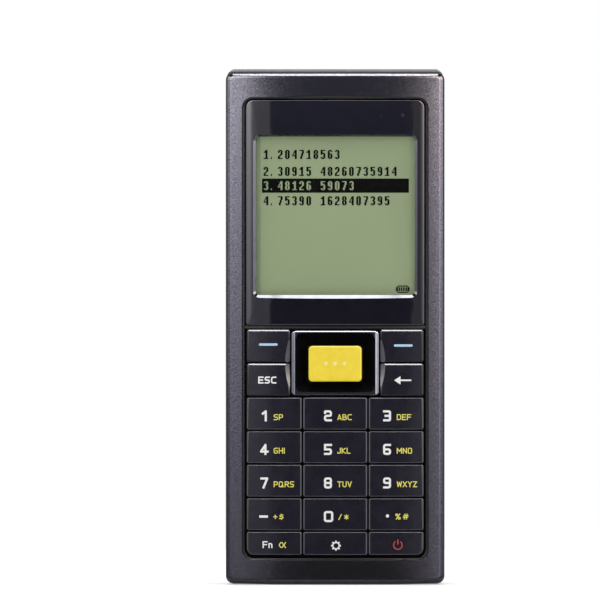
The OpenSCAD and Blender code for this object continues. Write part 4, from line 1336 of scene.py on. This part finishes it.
# Centre lines of the signs on a grid 8 wide and 12 high: each point is two hexadecimal digits, x then y
SIGNS = {
    "0": "50 a0 ac 0c 00 50", "1": "09 4c 40", "2": "0a 0c 8c 86 06 00 80", "3": "0c 8c 86 26|86 80 00",
    "4": "60 6c 03 93", "5": "8c 0c|0c 06|06 86 80 00", "6": "8c 0c 00 80 86 06", "7": "0c 8c 30",
    "8": "46 86 8c 0c 06 46|46 86 80 00 06 46", "9": "00 80 8c 0c 06 86",
    "A": "00 4c 80|23 63", "B": "00 0c|0c 7c 76 06|76 86 80 00", "C": "8c 0c 00 80", "D": "00 0c|0c 8c 80 00",
    "E": "8c 0c|0c 00|00 80|06 76", "F": "8c 0c|0c 00|06 76", "G": "8c 0c 00 80 86 46", "H": "00 0c|80 8c|06 86",
    "I": "00 0c", "J": "6c 60 00 02", "K": "00 0c|8c 06 80", "L": "0c 00|00 70", "M": "00 0c 54 ac a0",
    "N": "00 0c 80 8c", "O": "40 80 8c 0c 00 40", "P": "00 0c|0c 8c 85 05", "Q": "40 80 8c 0c 00 40|63 a0",
    "R": "00 0c|0c 8c 86 06|46 80", "S": "8c 0c 06 86 80 00", "T": "0c 8c|4c 40", "U": "0c 00 80 8c",
    "V": "0c 40 8c", "W": "0c 20 5b 80 ac", "X": "00 8c|0c 80", "Y": "0c 46 8c|46 40", "Z": "0c 8c 00 80",
    "n": "00 08|05 08 68 60", "+": "52 5a|16 96", "/": "10 7c", "*": "51 5b|13 99|19 93", "-": "06 76",
    "%": "10 9c|08 0c 4c 48 08|64 60 a0 a4 64", "#": "20 4c|70 9c|04 a4|18 b8",
    "$": "8a 1a 16 86 82 02|4a 4c|42 40",
    "a": "30 03 06 39 59 84 50 30|b9 84 b0",
}
# Signs with rounded corners, and how far they are rounded as shares of the height: digits, letters, the digit 3
SQUARE_SIGNS = "025689BCDGJOPQRSUn$a"
DIGIT_ROUNDING, LETTER_ROUNDING, THREE_ROUNDING = 0.2, 0.32, 0.14


def smooth_path(points, radius):
    """Rounds each inner corner of a line with an arc-like curve of this reach."""
    path = [points[0]]
    for a, b, c in zip(points, points[1:], points[2:]):
        reach = min(radius, (a - b).length / 2, (c - b).length / 2)
        start, end = b + (a - b).normalized() * reach, b + (c - b).normalized() * reach
        for i in range(6):
            t = i / 5
            path.append(start * (1 - t) ** 2 + b * 2 * t * (1 - t) + end * t * t)
    return path + [points[-1]]


def ribbon(path, width, square):
    """Outline polygons that cover a line of this width: a quad for each stretch and a disc at each joint."""
    half = width / 2
    path = path[:1] + [b for a, b in zip(path, path[1:]) if (b - a).length > 1e-4]
    shapes = []
    for i, (a, b) in enumerate(zip(path, path[1:])):
        along = (b - a).normalized()
        side = Vector((-along.y, along.x)) * half
        tail = along * (half if square and i == 0 else 0)
        tip = along * (half if square and i == len(path) - 2 else 0)
        shapes.append([a - tail + side, a - tail - side, b + tip - side, b + tip + side])
        if i:
            shapes.append(disc_shape(a, half, 12))
    return shapes


def disc_shape(centre, radius, steps=28):
    return [Vector(p) for p in circle(centre, radius, steps)]


def sign_shapes(sign, origin, height, stretch, weight):
    """Polygons of one sign whose lower left corner is at origin, all in millimetres."""
    unit = Vector((height / 12 * stretch, height / 12))
    shapes = []
    for stroke in SIGNS[sign].split("|"):
        points = [Vector((int(p[0], 16), int(p[1], 16))) * unit + origin for p in stroke.split()]
        if sign in SQUARE_SIGNS:
            points = smooth_path(points, height * (DIGIT_ROUNDING if sign.isdigit() else LETTER_ROUNDING))
        elif sign == "3":
            points = smooth_path(points, height * THREE_ROUNDING)
        shapes += ribbon(points, weight, square=points[0] != points[-1])
    return shapes


def sign_width(sign):
    return max(int(p[0], 16) for stroke in SIGNS[sign].split("|") for p in stroke.split())


def text_shapes(text, origin, height, stretch, weight, gap):
    """Polygons of a row of signs; gap is the clear space between two signs."""
    shapes, x = [], origin.x
    for sign in text:
        if sign == " ":
            x += height * 0.5
            continue
        shapes += sign_shapes(sign, Vector((x, origin.y)), height, stretch, weight)
        x += sign_width(sign) * height / 12 * stretch + weight + gap
    return shapes


def covers(shape, p):
    """Whether a convex polygon, wound to the left, holds the point."""
    return all((b - a).cross(p - a) >= 0 for a, b in zip(shape, shape[1:] + shape[:1]))


def printed(name, shapes, key, ink):
    """Joins flat convex polygons, in millimetres, into one thin print laid on the key's crowned face."""
    corners, faces = [], []
    for shape in shapes:
        faces.append(list(range(len(corners), len(corners) + len(shape))))
        corners += shape
    flat, _, triangles, _, _, _ = delaunay_2d_cdt(corners, [], faces, 1, 1e-5)
    bm = bmesh.new()
    verts = [bm.verts.new((p.x * MM, crown(KEY_APEX, p.x * MM), p.y * MM)) for p in flat]
    for triangle in triangles:
        centre = (flat[triangle[0]] + flat[triangle[1]] + flat[triangle[2]]) / 3
        if any(covers(shape, centre) for shape in shapes):
            bm.faces.new([verts[i] for i in triangle])
    spare = [v for v in bm.verts if not v.link_faces]
    bmesh.ops.delete(bm, geom=spare, context="VERTS")
    lifted = bmesh.ops.extrude_face_region(bm, geom=bm.faces[:])
    for element in lifted["geom"]:
        if isinstance(element, bmesh.types.BMVert):
            element.co.y += 2 * bpy.context.scene.terminal_keypad.print_height
    dress(to_object(name, bm), [ink], key)


class TERMINAL_OT_marks(bpy.types.Operator):
    """Prints the marks on the keys: digits, letter groups, arrow, bars, gear and power sign"""

    bl_idname = "terminal.marks"
    bl_label = "Key marks"

    # Where a digit's centre and its letters' left edge lie from the key's centre, in the three columns
    PLACES = ((-2.6, -0.15), (-1.9, 0.55), (-2.4, 0.15))
    LETTERS = (("SP", "ABC", "DEF"), ("GHI", "JKL", "MNO"), ("PQRS", "TUV", "WXYZ"))
    # Stroke widths of digits, letters, bars, and of the gear and power sign
    DIGIT, LETTER, BAR, SIGN = 0.56, 0.25, 0.62, 0.34

    def execute(self, context):
        keypad = context.scene.terminal_keypad
        self.white, self.yellow, self.blue, self.red = (
            finish(colour + "_ink") for colour in ("white", "yellow", "blue", "red"))
        self.big, self.small = keypad.digit_height / MM, keypad.letter_height / MM
        for row in range(3):
            for column in range(3):
                self.number_key(row, column)
        self.symbol_row()
        self.last_row()
        self.side_keys()
        return {"FINISHED"}

    def at(self, key, x, y):
        """The place this far to the right of and above the key's centre, in millimetres."""
        low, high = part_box(key)
        return Vector(((low.x + high.x) / 2 / MM + x, (low.z + high.z) / 2 / MM + y))

    def number_key(self, row, column):
        key = KEY_ROWS[row][column]
        aside, start = self.PLACES[column]
        self.digit(key, key[-1], aside, -0.6)
        self.letters(key, self.LETTERS[row][column], start, -0.27 - self.big / 2)

    def digit(self, key, digit, x, y):
        height, stretch = self.big - self.DIGIT, 0.98
        wide = sign_width(digit) * height / 12 * stretch
        origin = self.at(key, x - wide / 2, y - height / 2)
        printed(key + "_digit", sign_shapes(digit, origin, height, stretch, self.DIGIT), key, self.white)

    def letters(self, key, text, x, y, gap=0.2):
        origin = self.at(key, x + self.LETTER / 2, y + self.LETTER / 2)
        shapes = text_shapes(text, origin, self.small - self.LETTER, 1.02, self.LETTER, gap)
        printed(key + "_letters", shapes, key, self.yellow)

    def symbol_row(self):
        bar = [self.at("key_minus", x, -0.62) for x in (-3.62, -1.95)]
        printed("key_minus_bar", ribbon(bar, self.BAR, square=True), "key_minus", self.white)
        self.letters("key_minus", "+$", -0.4, -1.45, gap=0.45)
        self.digit("key_0", "0", -1.75, -0.6)
        self.letters("key_0", "/*", 0.7, -1.5, gap=0.55)
        printed("key_point_dot", [disc_shape(self.at("key_point", -2.3, -0.45), 0.42)], "key_point", self.white)
        self.letters("key_point", "%#", -0.2, -1.4, gap=0.6)

    def last_row(self):
        shapes = text_shapes("Fn", self.at("key_fn", -2.9, -1.1), 1.5, 0.98, 0.32, 0.24)
        printed("key_fn_mark", shapes, "key_fn", self.white)
        alpha = sign_shapes("a", self.at("key_fn", 1.35, -1.1), 1.75, 1.0, 0.26)
        printed("key_fn_alpha", alpha, "key_fn", self.yellow)
        self.gear(self.at("key_settings", 0.2, -0.6))
        self.power(self.at("key_power", 0.45, -0.45))

    def gear(self, centre):
        """A ring with eight teeth."""
        path = disc_shape(centre, 0.84, 32)
        shapes = ribbon(path + path[:1], self.SIGN, square=False)
        for k in range(8):
            way = Vector((math.cos(math.pi * k / 4), math.sin(math.pi * k / 4)))
            shapes += ribbon([centre + way * 0.9, centre + way * 1.3], 0.42, square=False)
        printed("key_settings_gear", shapes, "key_settings", self.white)

    def power(self, centre):
        """An open ring with a bar in its gap."""
        first, last = math.radians(125), math.radians(415)
        path = [centre + Vector((math.cos(t), math.sin(t))) * 1.12
                for t in (first + (last - first) * k / 28 for k in range(29))]
        shapes = ribbon(path, self.SIGN, square=False)
        shapes += ribbon([centre + Vector((0, 0.25)), centre + Vector((0, 1.3))], self.SIGN, square=True)
        printed("key_power_sign", shapes, "key_power", self.red)

    def side_keys(self):
        for key, x, y in (("key_soft_left", -0.02, 0.38), ("key_soft_right", 0.34, 0.12)):
            bar = [self.at(key, x + reach, y) for reach in (-2.15, 2.15)]
            shapes = ribbon(bar, self.BAR, square=False) + [disc_shape(p, self.BAR / 2) for p in bar]
            printed(key + "_bar", shapes, key, self.blue)
        shapes = text_shapes("ESC", self.at("key_escape", -2.5, -0.8), 1.48, 1.05, 0.37, 0.27)
        printed("key_escape_mark", shapes, "key_escape", self.white)
        shaft = ribbon([self.at("key_back", x, -0.12) for x in (-0.9, 2.45)], 0.42, square=False)
        head = [self.at("key_back", x, y - 0.12) for x, y in ((-2.05, 0), (-0.4, -1.1), (-0.4, 1.1))]
        printed("key_back_arrow", shaft + [head], "key_back", self.white)


# ------------------------------------------------------------------ finishes of the frame's own parts


class TERMINAL_OT_hardware(bpy.types.Operator):
    """Finishes the parts that keep their own shape, and eases the edges of the cover and its latch"""

    bl_idname = "terminal.hardware"
    bl_label = "Hardware"

    FINISHED = {
        "spark_eroded_abs": ("battery_cover",),
        "latch_abs": ("battery_latch",),
        "silicone_rubber": ("display_gasket", "keypad_mat"),
        "zinc_plated_steel": ("case_screws", "board_screws", "scan_bracket", "backup_cell", "dome_sheet"),
        "gold_flash": ("battery_springs", "dock_contacts"),
        "light_guide": ("lcd_backlight", "lcd_frame"),
        "polyimide_film": ("lcd_ribbon",),
        "smoked_acrylic": ("status_lights",),
        "solder_mask": ("main_board",),
        "epoxy_package": ("board_components", "buzzer"),
        "engine_housing": ("scan_engine", "dock_block"),
        "acetal": ("nav_rocker",),
        "dyed_acrylic": ("scan_window",),
        "shrink_wrap": ("battery_pack",),
    }
    EASED = ("battery_cover", "battery_latch")
    EASE = 0.12 * MM

    def execute(self, context):
        finished = [(finish(name), nodes) for name, nodes in self.FINISHED.items()]
        finished += [(clear_pane(), ("display_window",)), (reflective_lcd(), ("lcd_glass",))]
        for material, nodes in finished:
            for name in nodes:
                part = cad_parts[name]
                part.data.materials.clear()
                part.data.materials.append(material)
        for name in self.EASED:
            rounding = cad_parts[name].modifiers.new("Eased edges", "BEVEL")
            rounding.width, rounding.segments, rounding.harden_normals = self.EASE, 2, True
            rounding.limit_method, rounding.angle_limit = "ANGLE", math.radians(40)
        return {"FINISHED"}


# ------------------------------------------------------------------ panel and registration


class TERMINAL_PT_build(bpy.types.Panel):
    """Lists the terminal's pieces and the sizes that can be changed"""

    bl_idname = "TERMINAL_PT_build"
    bl_label = "Barcode terminal"
    bl_space_type = "VIEW_3D"
    bl_region_type = "UI"
    bl_category = "Terminal"

    def draw(self, context):
        for name in SETTINGS:
            group = getattr(context.scene, name)
            box = self.layout.box()
            for prop in group.bl_rna.properties:
                if prop.identifier not in ("rna_type", "name"):
                    box.prop(group, prop.identifier)
        for operator in OPERATORS:
            self.layout.operator(operator.bl_idname)


SETTINGS = {
    "terminal_body": TerminalBody, "terminal_display": TerminalDisplay,
    "terminal_keypad": TerminalKeypad, "terminal_studio": TerminalStudio,
}
OPERATORS = (
    TERMINAL_OT_stage, TERMINAL_OT_front_housing, TERMINAL_OT_rear_housing, TERMINAL_OT_display,
    TERMINAL_OT_screen, TERMINAL_OT_keys, TERMINAL_OT_scan_controls, TERMINAL_OT_marks, TERMINAL_OT_hardware,
)


def register():
    for item in (*SETTINGS.values(), *OPERATORS, TERMINAL_PT_build):
        bpy.utils.register_class(item)
    for name, group in SETTINGS.items():
        setattr(bpy.types.Scene, name, PointerProperty(type=group))


def unregister():
    for name in SETTINGS:
        delattr(bpy.types.Scene, name)
    for item in reversed((*SETTINGS.values(), *OPERATORS, TERMINAL_PT_build)):
        bpy.utils.unregister_class(item)


def main():
    register()
    for operator in OPERATORS:
        group, name = operator.bl_idname.split(".")
        getattr(getattr(bpy.ops, group), name)()


if __name__ == "__main__":
    main()
